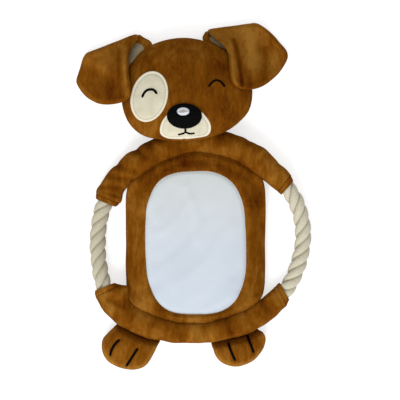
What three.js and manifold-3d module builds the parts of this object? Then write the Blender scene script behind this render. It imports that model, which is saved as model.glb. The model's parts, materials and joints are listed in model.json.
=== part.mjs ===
// A plush tug toy: a stuffed puppy on its back, with a rope ring running through its arms and legs.
// Millimetres, +Z up. The toy lies on its back, face up, with its head towards +Y.
import Module from 'manifold-3d';
import * as THREE from 'three';
import { mergeVertices } from 'three/addons/utils/BufferGeometryUtils.js';

const wasm = await Module();
wasm.setup();

// Cloth, thread and clearances
const plushThickness = 2.5;
const canvasThickness = 1.2;
const feltThickness = 1.2;
const liningThickness = 1.6;
const filmThickness = 0.5;
const threadDiameter = 1.8;
const seamThread = 1;
const pieceGap = 0.3;
const layGap = 0.6;
const fillingGap = 0.9;
const restFlat = 0.5;

// Rope ring, and the sleeves that it runs through
const ropeDiameter = 16;
const ringCentreX = 4.8;
const ringCentreY = 7;
const ringHalfWidth = 102.7;
const ringHalfHeight = 95.75;
const sleeveHeight = 24;
const yokeWidth = 26;
const seatWidth = 21.5;
const legBulge = 3.5;
const cuffWidth = 21;
const cuffHeight = 19;
const cuffSeamInset = 4;
const handleClearance = 2.5;
const handleUpAngle = 60;
const handleDownAngle = 40;
const spliceLength = 24;
const spliceWall = 1.4;

// Body
const bodyHalfWidth = 70;
const bodySeamHeight = 11;
const bodyCrown = 12;
const tummyBorderWidth = 19;
const tummyBorderHeight = 24;

// Head
const headCentreX = -8.5;
const headCentreY = 153.25;
const headHalfWidth = 65.5;
const headHalfHeight = 52;
const headSeamHeight = 20;
const headChinLift = 8.5;
const headCrown = 26;
const headRestClearance = 0.4;
const headRestMargin = 2;
const headRestRamp = 14;

// Face
const eyePatchHalfLength = 25.8;
const eyePatchHalfWidth = 18.3;
const muzzleHalfWidth = 25.6;
const muzzleHalfHeight = 13.8;
const noseHalfWidth = 17.5;
const noseHalfHeight = 12.7;
const noseThickness = 2.2;
const highlightHalfWidth = 6.2;
const highlightHalfHeight = 4;
const highlightThickness = 0.8;

// Ears
const earReach = 40;
const earRootGap = 0.8;
const earLayGap = 1;
const earCrestRamp = 20;
const earDrapeSoftness = 6;

// Feet
const footReach = 28;
const footSeamHeight = 9;
const footCrown = 9.5;
const footRamp = 14;
const footFoldClearance = 3;

// Squeaker
const squeakerRadius = 17;
const squeakerHeight = 20;
const squeakerWall = 1;
const reedRadius = 5;
const reedHeight = 9;

// Mesh counts
const columnCount = 24;
const squeakerSides = 16;
const smallColumnCount = 20;
const sleeveSides = 12;
const ropeSides = 8;
const threadSides = 5;
const cuffStitchSteps = 14;
const eyeStitchSteps = 8;
const mouthStitchSteps = 6;
const toeStitchSteps = 5;
const ringSteps = 6;
const samplesPerPoint = 12;
const samplesPerCorner = 8;

// Shares and powers of the forms
const rimShare = 0.35;
const rimFullnessShare = 4;
const bodyFullnessShare = 3.5;
const headFullnessShare = 2.5;
const footFullnessShare = 2.4;
const tummyPowerShare = 2.9;
const topCornerShare = 30;
const bottomCornerShare = 16;
const earLeaveShare = 0.88;
const squeakerWaistShare = 0.82;

// Colours
const plushBrown = 0x8b5a1e;
const canvasWhite = 0xd5dde6;
const feltCream = 0xd9d3b8;
const ropeCream = 0xcfc8b0;
const liningBeige = 0x8c8268;
const threadBlack = 0x14110e;
const fillingWhite = 0xf2f2ee;
const filmClear = 0xc9ced6;
const squeakerWhite = 0xe9e7df;

// Derived sizes
const ropeRadius = ropeDiameter / 2;
const sleeveAxisHeight = sleeveHeight / 2 - restFlat;
const boreRadius = (ropeRadius + pieceGap) / Math.cos(Math.PI / sleeveSides);
const foldPlace = bodyHalfWidth + handleClearance;
const earThickness = plushThickness + pieceGap + liningThickness;
const tummyHalfWidth = bodyHalfWidth - tummyBorderWidth;
const tummyHalfHeight = ringHalfHeight - tummyBorderHeight;

// Basic meshes: a loft runs through rings of points, and a ring of one point closes its end
function solid(points, faces) {
  const geometry = new THREE.BufferGeometry();
  const flat = points.flatMap((p) => [p.x, p.y, p.z]);
  geometry.setAttribute('position', new THREE.Float32BufferAttribute(flat, 3));
  geometry.setIndex(signedVolume(points, faces) < 0 ? faces.toReversed() : faces);
  return geometry;
}

function signedVolume(points, faces) {
  const cross = new THREE.Vector3();
  let volume = 0;
  for (let i = 0; i < faces.length; i += 3) {
    const [a, b, c] = [points[faces[i]], points[faces[i + 1]], points[faces[i + 2]]];
    volume += cross.crossVectors(b, c).dot(a);
  }
  return volume;
}

function loft(rings, turn = rings.length) {
  const starts = [];
  let count = 0;
  for (const ring of rings) {
    starts.push(count);
    count += ring.length;
  }
  const faces = [];
  const pairs = rings[0].length > 1 ? rings.length : rings.length - 1;
  for (let k = 0; k < pairs; k += 1) {
    const next = (k + 1) % rings.length;
    joinRings(faces, starts[k], rings[k].length, starts[next], rings[next].length, k >= turn);
  }
  return solid(rings.flat(), faces);
}

function joinRings(faces, first, firstCount, second, secondCount, crossed) {
  const count = Math.max(firstCount, secondCount);
  for (let i = 0; i < count; i += 1) {
    const j = (i + 1) % count;
    if (firstCount === 1) {
      faces.push(first, second + j, second + i);
    } else if (secondCount === 1) {
      faces.push(first + i, first + j, second);
    } else if (crossed) {
      faces.push(first + i, first + j, second + i, first + j, second + j, second + i);
    } else {
      faces.push(first + i, first + j, second + j, first + i, second + j, second + i);
    }
  }
}

function toManifold(geometry) {
  const vertProperties = new Float32Array(geometry.getAttribute('position').array);
  const triVerts = new Uint32Array(geometry.getIndex().array);
  return new wasm.Manifold(new wasm.Mesh({ numProp: 3, vertProperties, triVerts }));
}

function fromManifold(shape) {
  const mesh = shape.getMesh();
  const geometry = new THREE.BufferGeometry();
  const positions = new Float32Array(mesh.vertProperties);
  geometry.setAttribute('position', new THREE.BufferAttribute(positions, 3));
  geometry.setIndex(Array.from(mesh.triVerts));
  return geometry;
}

function smoothstep(value) {
  const t = THREE.MathUtils.clamp(value, 0, 1);
  return t * t * (3 - 2 * t);
}

function lerp(a, b, share) {
  return a + (b - a) * share;
}

function softMax(a, b, softness) {
  return (a + b + Math.hypot(a - b, softness)) / 2;
}

// Outlines are polar: a centre, and a reach for each angle
function drawnOutline(centre, size, shares) {
  const corners = shares.map(([x, y]) => new THREE.Vector3(x * size.x, y * size.y, 0));
  const curve = new THREE.CatmullRomCurve3(corners, true, 'centripetal');
  const samples = curve.getPoints(shares.length * samplesPerCorner).slice(1).map((p) => ({
    angle: Math.atan2(p.y, p.x),
    radius: Math.hypot(p.x, p.y),
  }));
  samples.sort((a, b) => a.angle - b.angle);
  const reach = (angle) => {
    const wrapped = Math.atan2(Math.sin(angle), Math.cos(angle));
    let high = samples.findIndex((s) => s.angle > wrapped);
    high = high < 0 ? 0 : high;
    const after = samples[high];
    const before = samples[(high + samples.length - 1) % samples.length];
    const span = (after.angle - before.angle + 2 * Math.PI) % (2 * Math.PI);
    const along = (wrapped - before.angle + 2 * Math.PI) % (2 * Math.PI);
    return lerp(before.radius, after.radius, span > 0 ? Math.min(1, along / span) : 0);
  };
  return { centre, reach };
}

function ellipseOutline(centre, halfWidth, halfHeight, turn = 0, power = 2) {
  const reach = (angle) => {
    const across = Math.abs(Math.cos(angle - turn) / halfWidth) ** power;
    const along = Math.abs(Math.sin(angle - turn) / halfHeight) ** power;
    return (across + along) ** (-1 / power);
  };
  return { centre, reach };
}

// The outline is cut back where a ray from its centre first meets a blocked place
function cutOutline(outline, blocked) {
  const steps = 60;
  const halvings = 12;
  const reach = (angle) => {
    const whole = outline.reach(angle);
    const isBlocked = (radius) => {
      const x = outline.centre.x + Math.cos(angle) * radius;
      const y = outline.centre.y + Math.sin(angle) * radius;
      return blocked(x, y);
    };
    for (let k = 1; k <= steps; k += 1) {
      if (isBlocked((whole * k) / steps)) {
        let [clear, stopped] = [(whole * (k - 1)) / steps, (whole * k) / steps];
        for (let halving = 0; halving < halvings; halving += 1) {
          const middle = (clear + stopped) / 2;
          [clear, stopped] = isBlocked(middle) ? [clear, middle] : [middle, stopped];
        }
        return clear;
      }
    }
    return whole;
  };
  return { centre: outline.centre, reach };
}

// Each column's reach is worked out once
function tabulated(outline, columns) {
  const keysPerColumn = 1e6;
  const reaches = new Map();
  const reach = (angle) => {
    const key = Math.round((angle / (2 * Math.PI)) * columns * keysPerColumn);
    if (!reaches.has(key)) {
      reaches.set(key, outline.reach(angle));
    }
    return reaches.get(key);
  };
  return { centre: outline.centre, reach };
}

function shareAt(outline, x, y) {
  const [dx, dy] = [x - outline.centre.x, y - outline.centre.y];
  return Math.hypot(dx, dy) / outline.reach(Math.atan2(dy, dx));
}

function spread(steps) {
  return Array.from({ length: steps }, (_, k) => Math.sin((Math.PI / 2) * ((k + 1) / steps)));
}

// Rings of points round an outline's centre, at the radii that radiiAt gives for each angle
function polarRings(outline, columns, radiiAt, heightAt) {
  const angles = Array.from({ length: columns }, (_, i) => (2 * Math.PI * i) / columns);
  const table = angles.map((angle) => radiiAt(angle));
  return table[0].map((_, k) => angles.map((angle, i) => {
    const x = outline.centre.x + Math.cos(angle) * table[i][k];
    const y = outline.centre.y + Math.sin(angle) * table[i][k];
    return new THREE.Vector3(x, y, heightAt(x, y));
  }));
}

function discRings(outline, columns, steps, inset, heightAt) {
  const radiiAt = (angle) => spread(steps).map((share) => (outline.reach(angle) - inset) * share);
  const { x, y } = outline.centre;
  const pole = new THREE.Vector3(x, y, heightAt(x, y));
  return [[pole], ...polarRings(outline, columns, radiiAt, heightAt)];
}

// Both surfaces are split along the same diagonals, so that pieces laid on each other nest
function between(upper, lower) {
  return loft([...upper, ...lower.toReversed()], upper.length);
}

// Ring route: hand-placed points, clockwise from the top, as shares of the ring's half sizes
const routeShares = [
  [-0.052, 1.0], [0.255, 0.948], [0.497, 0.83], [0.698, 0.661], [0.854, 0.49], [0.952, 0.3],
  [1.0, 0.06], [0.985, -0.17], [0.92, -0.4], [0.834, -0.56], [0.68, -0.735], [0.508, -0.862],
  [0.25, -0.968], [-0.052, -1.013], [-0.373, -0.978], [-0.62, -0.88], [-0.81, -0.74], [-0.93, -0.545],
  [-0.985, -0.3], [-1.0, -0.05], [-0.975, 0.19], [-0.925, 0.355], [-0.84, 0.535], [-0.7, 0.69],
  [-0.5, 0.838], [-0.28, 0.945],
];
const pointCount = routeShares.length;
const cuffShares = {
  rightArm: 4 / pointCount,
  rightLeg: 9 / pointCount,
  leftLeg: 17 / pointCount,
  leftArm: 21 / pointCount,
};
const taperShare = 0.5;

const routeLine = new THREE.CatmullRomCurve3(
  routeShares.map(([x, y]) => {
    return new THREE.Vector3(ringCentreX + x * ringHalfWidth, ringCentreY + y * ringHalfHeight, 0);
  }),
  true,
  'catmullrom',
);

function wrapShare(t) {
  return ((t % 1) + 1) % 1;
}

// 0 in the middle of the yoke or seat, 1 at a cuff and all along the free rope
function limbShare(t) {
  const { rightArm, rightLeg, leftLeg, leftArm } = cuffShares;
  const at = wrapShare(t);
  if (at <= rightArm) return at / rightArm;
  if (at >= leftArm) return (1 - at) / (1 - leftArm);
  if (at >= rightLeg && at <= 1 / 2) return (1 / 2 - at) / (1 / 2 - rightLeg);
  if (at >= 1 / 2 && at <= leftLeg) return (at - 1 / 2) / (leftLeg - 1 / 2);
  return 1;
}

function isLower(t) {
  const { rightArm, rightLeg, leftLeg, leftArm } = cuffShares;
  const at = wrapShare(t);
  return at > (rightArm + rightLeg) / 2 && at < (leftLeg + leftArm) / 2;
}

function sleeveHalfWidth(t) {
  const share = limbShare(t);
  if (isLower(t)) {
    const bulge = legBulge * Math.sin(Math.PI * share) ** 2;
    return (lerp(seatWidth, cuffWidth, smoothstep(share)) + bulge) / 2;
  }
  return lerp(yokeWidth, cuffWidth, smoothstep((share - taperShare) / (1 - taperShare))) / 2;
}

function sleeveHalfHeight(t) {
  const taper = smoothstep((limbShare(t) - taperShare) / (1 - taperShare));
  return lerp(sleeveHeight, cuffHeight, taper) / 2;
}

// The free rope sags from the cuffs' height until it lies on the ground
function routeHeight(t) {
  const { rightArm, rightLeg, leftLeg, leftArm } = cuffShares;
  const at = wrapShare(t);
  const inRight = at > rightArm && at < rightLeg;
  const inLeft = at > leftLeg && at < leftArm;
  if (!inRight && !inLeft) return sleeveAxisHeight;
  const [from, to] = inRight ? [rightArm, rightLeg] : [leftLeg, leftArm];
  const along = (at - from) / (to - from);
  return lerp(sleeveAxisHeight, ropeRadius, Math.sin(Math.PI * along) ** 2);
}

function routePoint(t) {
  const point = routeLine.getPoint(wrapShare(t));
  point.z = routeHeight(t);
  return point;
}

// Unit vector away from the ring's middle, square to the route
function routeOutward(t) {
  const tangent = routeLine.getTangent(wrapShare(t));
  return new THREE.Vector3(-tangent.y, tangent.x, 0).normalize();
}

const sampleCount = pointCount * samplesPerPoint;
const routeSamples = Array.from({ length: sampleCount }, (_, k) => {
  const t = k / sampleCount;
  const { x, y } = routeLine.getPoint(t);
  return { t, x, y, halfWidth: sleeveHalfWidth(t) };
});

// How far a place lies from the nearest sleeve's edge, and from the route under it
function nearestSleeve(x, y) {
  let best = null;
  for (const sample of routeSamples) {
    const distance = Math.hypot(x - sample.x, y - sample.y);
    if (best === null || distance - sample.halfWidth < best.clearance) {
      best = { t: sample.t, distance, clearance: distance - sample.halfWidth };
    }
  }
  return best;
}

function sectionRing(t, halfWidth, halfHeight, sides) {
  const centre = routePoint(t);
  const outward = routeOutward(t);
  return Array.from({ length: sides }, (_, i) => {
    const angle = (2 * Math.PI * (i + 1 / 2)) / sides;
    const point = centre.clone().addScaledVector(outward, Math.cos(angle) * halfWidth);
    point.z = Math.max(0, point.z + Math.sin(angle) * halfHeight);
    return point;
  });
}

// Stations keep to one grid all round the ring, so that a rope's facets follow its sleeve's
const stationCount = 2 * pointCount;

function stations(from, to) {
  const inner = [];
  for (let k = Math.floor(from * stationCount) + 1; k < to * stationCount; k += 1) {
    inner.push(k / stationCount);
  }
  return [from, ...inner, to];
}

function sleeveTube(from, to) {
  const outer = stations(from, to).map((t) => {
    return sectionRing(t, sleeveHalfWidth(t), sleeveHalfHeight(t), sleeveSides);
  });
  const bore = stations(from, to).map((t) => sectionRing(t, boreRadius, boreRadius, sleeveSides));
  return loft([...outer, ...bore.toReversed()]);
}

function ropeTube(from, to, radius = ropeRadius) {
  const rings = stations(from, to).map((t) => sectionRing(t, radius, radius, ropeSides));
  return loft([[routePoint(from)], ...rings, [routePoint(to)]]);
}

// Fold knuckles of the rope handles. In a fold's section, u runs inwards from the fold line and w up.
const foldRadius = sleeveHeight / 2;
const sectionHeight = sleeveHeight;
const sectionReach = ringHalfWidth;
const sectionLength = 2 * ringHalfHeight;
const arcSteps = 8;

function arcPoints(radius, fromAngle, toAngle) {
  return Array.from({ length: arcSteps + 1 }, (_, k) => {
    const angle = lerp(fromAngle, toAngle, k / arcSteps);
    return [radius * Math.cos(angle), radius * Math.sin(angle)];
  });
}

function handleSection() {
  return [
    [-sectionReach, sectionHeight],
    [0, sectionHeight],
    ...arcPoints(foldRadius, Math.PI / 2, -Math.PI / 2),
    [0, -sectionHeight],
    [-sectionReach, -sectionHeight],
  ];
}

function torsoCutSection() {
  const radius = (foldRadius + pieceGap) / Math.cos(Math.PI / (2 * arcSteps));
  const upper = Math.PI / 2 - THREE.MathUtils.degToRad(handleUpAngle);
  const lower = THREE.MathUtils.degToRad(handleDownAngle) - Math.PI / 2;
  const climb = (sectionHeight - radius * Math.sin(upper)) / Math.cos(upper);
  const drop = (sectionHeight + radius * Math.sin(lower)) / Math.cos(lower);
  return [
    [-sectionReach, sectionHeight],
    [radius * Math.cos(upper) - climb * Math.sin(upper), sectionHeight],
    ...arcPoints(radius, upper, lower),
    [radius * Math.cos(lower) + drop * Math.sin(lower), -sectionHeight],
    [-sectionReach, -sectionHeight],
  ];
}

// A section swept along Y at the fold line of one side: -1 is left, 1 is right
function sweptSection(section, side) {
  const ringAt = (y) => section.map(([u, w]) => {
    return new THREE.Vector3(side * (foldPlace - u), y, sleeveAxisHeight + w);
  });
  const points = [...ringAt(-sectionLength), ...ringAt(sectionLength)];
  const count = section.length;
  const flat = section.map(([u, w]) => new THREE.Vector2(u, w));
  const caps = THREE.ShapeUtils.triangulateShape(flat, []);
  const area = THREE.ShapeUtils.area(flat);
  const faces = [];
  for (const [a, b, c] of caps) {
    faces.push(a, c, b, a + count, b + count, c + count);
  }
  for (let i = 0; i < count; i += 1) {
    const j = (i + 1) % count;
    if (area > 0) {
      faces.push(i, j, j + count, i, j + count, i + count);
    } else {
      faces.push(j, i, i + count, j, i + count, j + count);
    }
  }
  return toManifold(solid(points, faces));
}

const handleSpace = {
  left: sweptSection(handleSection(), -1),
  right: sweptSection(handleSection(), 1),
};
const torsoCut = sweptSection(torsoCutSection(), -1).add(sweptSection(torsoCutSection(), 1));

// A stuffed form: two skins that meet at a seam, over one filling
class Pad {
  constructor({ outline, columns, steps, seam, crown, sag, fullness, floor = () => 0, swell = () => 1 }) {
    this.outline = tabulated(outline, columns);
    Object.assign(this, { columns, steps, seam, crown, sag, fullness, floor, swell });
  }

  lift(share) {
    return Math.sqrt(Math.max(0, 1 - share ** this.fullness));
  }

  rise(x, y, height, inset) {
    const [dx, dy] = [x - this.outline.centre.x, y - this.outline.centre.y];
    const radius = Math.hypot(dx, dy);
    const reach = this.outline.reach(Math.atan2(dy, dx));
    const scaled = (height - inset) * this.lift(radius / (reach - inset));
    const lowered = height * this.lift(radius / reach) - inset;
    return Math.max(0, Math.min(scaled, lowered)) * this.swell(x, y);
  }

  top(x, y, inset = 0) {
    return this.seam(x, y) + pieceGap / 2 + this.rise(x, y, this.crown, inset);
  }

  bottom(x, y, inset = 0) {
    const drawn = this.seam(x, y) - pieceGap / 2 - this.rise(x, y, this.sag, inset);
    return Math.max(this.floor(x, y) + inset, drawn);
  }

  rings(inset, heightAt) {
    return discRings(this.outline, this.columns, this.steps, inset, heightAt);
  }

  topRings(inset) {
    return this.rings(inset, (x, y) => this.top(x, y, inset));
  }

  bottomRings(inset) {
    return this.rings(inset, (x, y) => this.bottom(x, y, inset));
  }

  front() {
    return between(this.topRings(0), this.topRings(plushThickness));
  }

  back() {
    return between(this.bottomRings(plushThickness), this.bottomRings(0));
  }

  filling() {
    const inset = plushThickness + fillingGap;
    const topAt = (x, y) => Math.max(this.seam(x, y) + pieceGap / 2, this.top(x, y, inset) - pieceGap);
    const bottomAt = (x, y) => {
      const slack = this.floor(x, y) > 0 ? 2 * fillingGap : pieceGap;
      return Math.min(this.bottom(x, y, inset) + slack, topAt(x, y) - pieceGap);
    };
    return between(this.rings(inset, topAt), this.rings(inset, bottomAt));
  }
}

// Thin layers that lie on a surface, thinner at their rims
function layer(outline, columns, steps, surface, thickness) {
  const table = tabulated(outline, columns);
  const lower = discRings(table, columns, steps, 0, surface);
  const upper = discRings(table, columns, steps, 0, (x, y) => {
    const share = Math.min(1, shareAt(table, x, y));
    const full = rimShare + (1 - rimShare) * Math.sqrt(1 - share ** rimFullnessShare);
    return surface(x, y) + thickness * full;
  });
  return between(upper, lower);
}

// A thread laid along points on a surface
function threadTube(points, surface, diameter, steps) {
  const line = new THREE.SplineCurve(points.map(([x, y]) => new THREE.Vector2(x, y)));
  const at = (k) => {
    const { x, y } = line.getPoint(k / steps);
    return new THREE.Vector3(x, y, surface(x, y) + diameter / 2 + pieceGap);
  };
  const rings = Array.from({ length: steps + 1 }, (_, k) => {
    const centre = at(k);
    const tangent = line.getTangent(k / steps);
    const side = new THREE.Vector3(-tangent.y, tangent.x, 0);
    return Array.from({ length: threadSides }, (_, i) => {
      const angle = (2 * Math.PI * i) / threadSides;
      const point = centre.clone().addScaledVector(side, (Math.cos(angle) * diameter) / 2);
      point.z += (Math.sin(angle) * diameter) / 2;
      return point;
    });
  });
  return loft([[at(0)], ...rings, [at(steps)]]);
}

// Nodes
const toy = new THREE.Group();

function material(color, roughness) {
  return new THREE.MeshStandardMaterial({ color, roughness, metalness: 0 });
}

function add(name, geometry, color, roughness = 0.9) {
  const mesh = new THREE.Mesh(geometry, material(color, roughness));
  mesh.name = name;
  toy.add(mesh);
}

// Body: a pad between the yoke, the seat and the two handles
const bodyCentre = new THREE.Vector2(0, 0);
const tummyOutline = ellipseOutline(bodyCentre, tummyHalfWidth, tummyHalfHeight, 0, tummyPowerShare);

function bodyOutline() {
  const whole = ellipseOutline(bodyCentre, ringHalfWidth, ringHalfHeight + ringCentreY);
  const ring = cutOutline(whole, (x, y) => nearestSleeve(x, y).clearance < pieceGap);
  const reach = (angle) => {
    const power = Math.sin(angle) > 0 ? topCornerShare : bottomCornerShare;
    const side = bodyHalfWidth / Math.max(Math.abs(Math.cos(angle)), Number.EPSILON);
    return (ring.reach(angle) ** -power + side ** -power) ** (-1 / power);
  };
  return { centre: bodyCentre, reach };
}

const body = new Pad({
  outline: bodyOutline(),
  columns: columnCount,
  steps: ringSteps,
  seam: () => bodySeamHeight,
  crown: bodyCrown,
  sag: bodySeamHeight + restFlat,
  fullness: bodyFullnessShare,
});
const tummySteps = 3;
const borderSteps = 4;
const panelDrop = plushThickness - canvasThickness - filmThickness - pieceGap;

function bodyPole(heightAt) {
  const { x, y } = bodyCentre;
  return [new THREE.Vector3(x, y, heightAt(x, y))];
}

function tummyRadii(angle, edge) {
  return spread(tummySteps).map((share) => share * (tummyOutline.reach(angle) + edge));
}

function borderRadii(angle, inset) {
  const from = tummyOutline.reach(angle) + pieceGap / 2;
  const to = body.outline.reach(angle) - inset;
  return [from, ...spread(borderSteps).map((share) => lerp(from, to, share))];
}

function borderRings(inset) {
  const heightAt = (x, y) => body.top(x, y, inset);
  return polarRings(body.outline, columnCount, (angle) => borderRadii(angle, inset), heightAt);
}

function panelRings(drop) {
  const heightAt = (x, y) => body.top(x, y) - drop;
  const radiiAt = (angle) => tummyRadii(angle, -pieceGap / 2);
  return [bodyPole(heightAt), ...polarRings(body.outline, columnCount, radiiAt, heightAt)];
}

function bodyFilling() {
  const inset = plushThickness + fillingGap;
  const radiiAt = (angle) => [...tummyRadii(angle, 0), ...borderRadii(angle, inset).slice(1)];
  const rings = (heightAt) => [
    bodyPole(heightAt),
    ...polarRings(body.outline, columnCount, radiiAt, heightAt),
  ];
  const [upper, lower] = [(x, y) => body.top(x, y, inset), (x, y) => body.bottom(x, y, inset)];
  return between(rings(upper), rings(lower));
}

add('body_front', between(borderRings(0), borderRings(plushThickness)), plushBrown);
const panel = between(panelRings(panelDrop), panelRings(panelDrop + canvasThickness));
add('tummy_panel', panel, canvasWhite, 0.75);
const filmDrop = panelDrop + canvasThickness + pieceGap;
const film = between(panelRings(filmDrop), panelRings(filmDrop + filmThickness));
add('crinkle_sheet', film, filmClear, 0.3);
add('body_filling', bodyFilling(), fillingWhite);
add('body_back', body.back(), plushBrown);

// Sleeves: the yoke and the seat stay with the body, the limbs swing with the rope handles
const { rightArm, rightLeg, leftLeg, leftArm } = cuffShares;
const yokeTube = toManifold(sleeveTube(leftArm - 1, rightArm));
const seatTube = toManifold(sleeveTube(rightLeg, leftLeg));
add('yoke_sleeve', fromManifold(yokeTube.subtract(torsoCut)), plushBrown);
add('seat_sleeve', fromManifold(seatTube.subtract(torsoCut)), plushBrown);

// Rope: one length, its two ends bound together inside the seat
const middle = 1 / 2;
const spliceShare = spliceLength / 2 / routeLine.getLength();
const neckRadius = ropeRadius - spliceWall;

function splicedRope(from, to) {
  const whole = toManifold(ropeTube(from, to));
  const neck = toManifold(ropeTube(Math.min(from, middle), Math.max(to, middle), neckRadius));
  return whole.add(neck);
}

const splicedRight = splicedRope(rightLeg, middle - spliceShare);
const splicedLeft = splicedRope(middle + spliceShare, leftLeg);
const splicePlane = routePoint(middle).x;

// The rope's two ends stop short of each other inside the binding
function endOfRope(shape, side) {
  return shape.trimByPlane([side, 0, 0], side * splicePlane + pieceGap / 2);
}

function spliceWrap() {
  const inner = (neckRadius + pieceGap) / Math.cos(Math.PI / ropeSides);
  const ts = [middle - spliceShare, middle, middle + spliceShare];
  const inset = pieceGap / routeLine.getLength();
  ts[0] += inset;
  ts[2] -= inset;
  const outer = ts.map((t) => sectionRing(t, ropeRadius, ropeRadius, ropeSides));
  const bore = ts.map((t) => sectionRing(t, inner, inner, ropeSides));
  return loft([...outer, ...bore.toReversed()]);
}

const ropeInYoke = toManifold(ropeTube(leftArm - 1, rightArm));
add('rope_in_yoke', fromManifold(ropeInYoke.subtract(torsoCut)), ropeCream);
add('rope_in_seat_right', fromManifold(endOfRope(splicedRight, 1).subtract(torsoCut)), ropeCream);
add('rope_in_seat_left', fromManifold(endOfRope(splicedLeft, -1).subtract(torsoCut)), ropeCream);
add('rope_splice_wrap', spliceWrap(), canvasWhite, 0.6);

// Handles
function cuffStitch(cuff, inwards) {
  const t = cuff + (inwards * cuffSeamInset) / routeLine.getLength();
  const centre = routePoint(t);
  const outward = routeOutward(t);
  const along = new THREE.Vector3(outward.y, -outward.x, 0);
  const offset = seamThread / 2 + pieceGap;
  const halfWidth = (sleeveHalfWidth(t) + offset) / Math.cos(Math.PI / cuffStitchSteps);
  const halfHeight = (sleeveHalfHeight(t) + offset) / Math.cos(Math.PI / cuffStitchSteps);
  const rings = Array.from({ length: cuffStitchSteps }, (_, k) => {
    const turn = (2 * Math.PI * k) / cuffStitchSteps;
    const radial = outward.clone().multiplyScalar(Math.cos(turn));
    radial.z = Math.sin(turn);
    const middlePoint = centre.clone().addScaledVector(outward, Math.cos(turn) * halfWidth);
    middlePoint.z += Math.sin(turn) * halfHeight;
    return Array.from({ length: threadSides }, (_, i) => {
      const angle = (2 * Math.PI * i) / threadSides;
      return middlePoint.clone()
        .addScaledVector(radial, (Math.cos(angle) * seamThread) / 2)
        .addScaledVector(along, (Math.sin(angle) * seamThread) / 2);
    });
  });
  return loft(rings);
}

function addHandle(side, armCuff, legCuff, armInwards) {
  const space = handleSpace[side];
  const rope = side === 'left' ? ropeTube(middle, 1) : ropeTube(0, middle);
  add(`${side}_arm_sleeve`, fromManifold(yokeTube.intersect(space)), plushBrown);
  add(`${side}_leg_sleeve`, fromManifold(seatTube.intersect(space)), plushBrown);
  add(`rope_${side}`, fromManifold(toManifold(rope).intersect(space)), ropeCream);
  add(`${side}_arm_cuff_stitch`, cuffStitch(armCuff, armInwards), plushBrown);
  add(`${side}_leg_cuff_stitch`, cuffStitch(legCuff, -armInwards), plushBrown);
}

addHandle('left', leftArm, leftLeg, 1);
addHandle('right', rightArm, rightLeg, -1);

// Head: a tilted pad whose crown rests on the ground and whose chin lies over the yoke
const headOutlineShares = [
  [1.0, -0.048], [0.954, 0.26], [0.809, 0.548], [0.534, 0.808], [0.198, 0.96], [-0.107, 0.998],
  [-0.412, 0.925], [-0.672, 0.75], [-0.863, 0.462], [-0.973, 0.125], [-0.992, -0.279], [-0.893, -0.644],
  [-0.672, -0.885], [-0.366, -0.977], [-0.046, -1.0], [0.29, -0.946], [0.611, -0.808],
  [0.824, -0.606], [0.959, -0.375],
];
const headCentre = new THREE.Vector2(headCentreX, headCentreY);
const headSize = new THREE.Vector2(headHalfWidth, headHalfHeight);

function headPlace([shareX, shareY]) {
  return new THREE.Vector2(headCentreX + shareX * headHalfWidth, headCentreY + shareY * headHalfHeight);
}

// The head's back keeps clear of the sleeves that it lies over
function headFloor(x, y) {
  const over = nearestSleeve(x, y).clearance + headRestMargin;
  return (sleeveHeight - restFlat + headRestClearance) * (1 - smoothstep(over / headRestRamp));
}

const head = new Pad({
  outline: drawnOutline(headCentre, headSize, headOutlineShares),
  columns: columnCount,
  steps: ringSteps,
  seam: (x, y) => headSeamHeight + (headChinLift * (headCentreY - y)) / headHalfHeight,
  crown: headCrown,
  sag: headSeamHeight + restFlat,
  fullness: headFullnessShare,
  floor: headFloor,
});

// Squeaker: a bellows bulb with a reed in its mouth, in a pocket at the back of the head's filling
const squeakerBase = plushThickness + pieceGap;
const squeakerPlace = headPlace([0, 0.4]);

function turned(profile, place, base) {
  const mergeDistance = pieceGap / squeakerSides ** 2;
  const line = profile.map(([r, z]) => new THREE.Vector2(r, z));
  const geometry = new THREE.LatheGeometry(line, squeakerSides);
  geometry.rotateX(Math.PI / 2);
  geometry.translate(place.x, place.y, base);
  geometry.deleteAttribute('normal');
  geometry.deleteAttribute('uv');
  const merged = mergeVertices(geometry, mergeDistance);
  const corners = merged.getAttribute('position');
  const points = Array.from({ length: corners.count }, (_, i) => {
    return new THREE.Vector3().fromBufferAttribute(corners, i);
  });
  return solid(points, sharpFaces(Array.from(merged.getIndex().array)));
}

// Faces that keep three different corners, once the turned profile's ends have met on its axis
function sharpFaces(faces) {
  const kept = [];
  for (let i = 0; i < faces.length; i += 3) {
    const [a, b, c] = faces.slice(i, i + 3);
    if (a !== b && b !== c && c !== a) kept.push(a, b, c);
  }
  return kept;
}

function squeakerBulb() {
  const mouth = reedRadius + pieceGap;
  const [outer, inner] = [squeakerRadius, squeakerRadius - squeakerWall];
  const top = squeakerHeight;
  const roof = squeakerHeight - squeakerWall;
  const waist = squeakerRadius * squeakerWaistShare;
  return turned([
    [mouth, top], [mouth, roof], [inner - squeakerWall, roof], [waist - squeakerWall, top / 2],
    [inner - squeakerWall, squeakerWall], [0, squeakerWall], [0, 0], [outer, 0], [waist, top / 2],
    [outer, top], [mouth, top],
  ], squeakerPlace, squeakerBase);
}

function squeakerReed() {
  const base = squeakerBase + squeakerHeight - reedHeight;
  const profile = [[0, 0], [reedRadius, 0], [reedRadius, reedHeight], [0, reedHeight]];
  return turned(profile, squeakerPlace, base);
}

function squeakerPocket() {
  const top = squeakerHeight + pieceGap;
  const radius = (squeakerRadius + pieceGap) / Math.cos(Math.PI / squeakerSides);
  const profile = [[0, -squeakerBase], [radius, -squeakerBase], [radius, top], [0, top]];
  return toManifold(turned(profile, squeakerPlace, squeakerBase));
}

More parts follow.
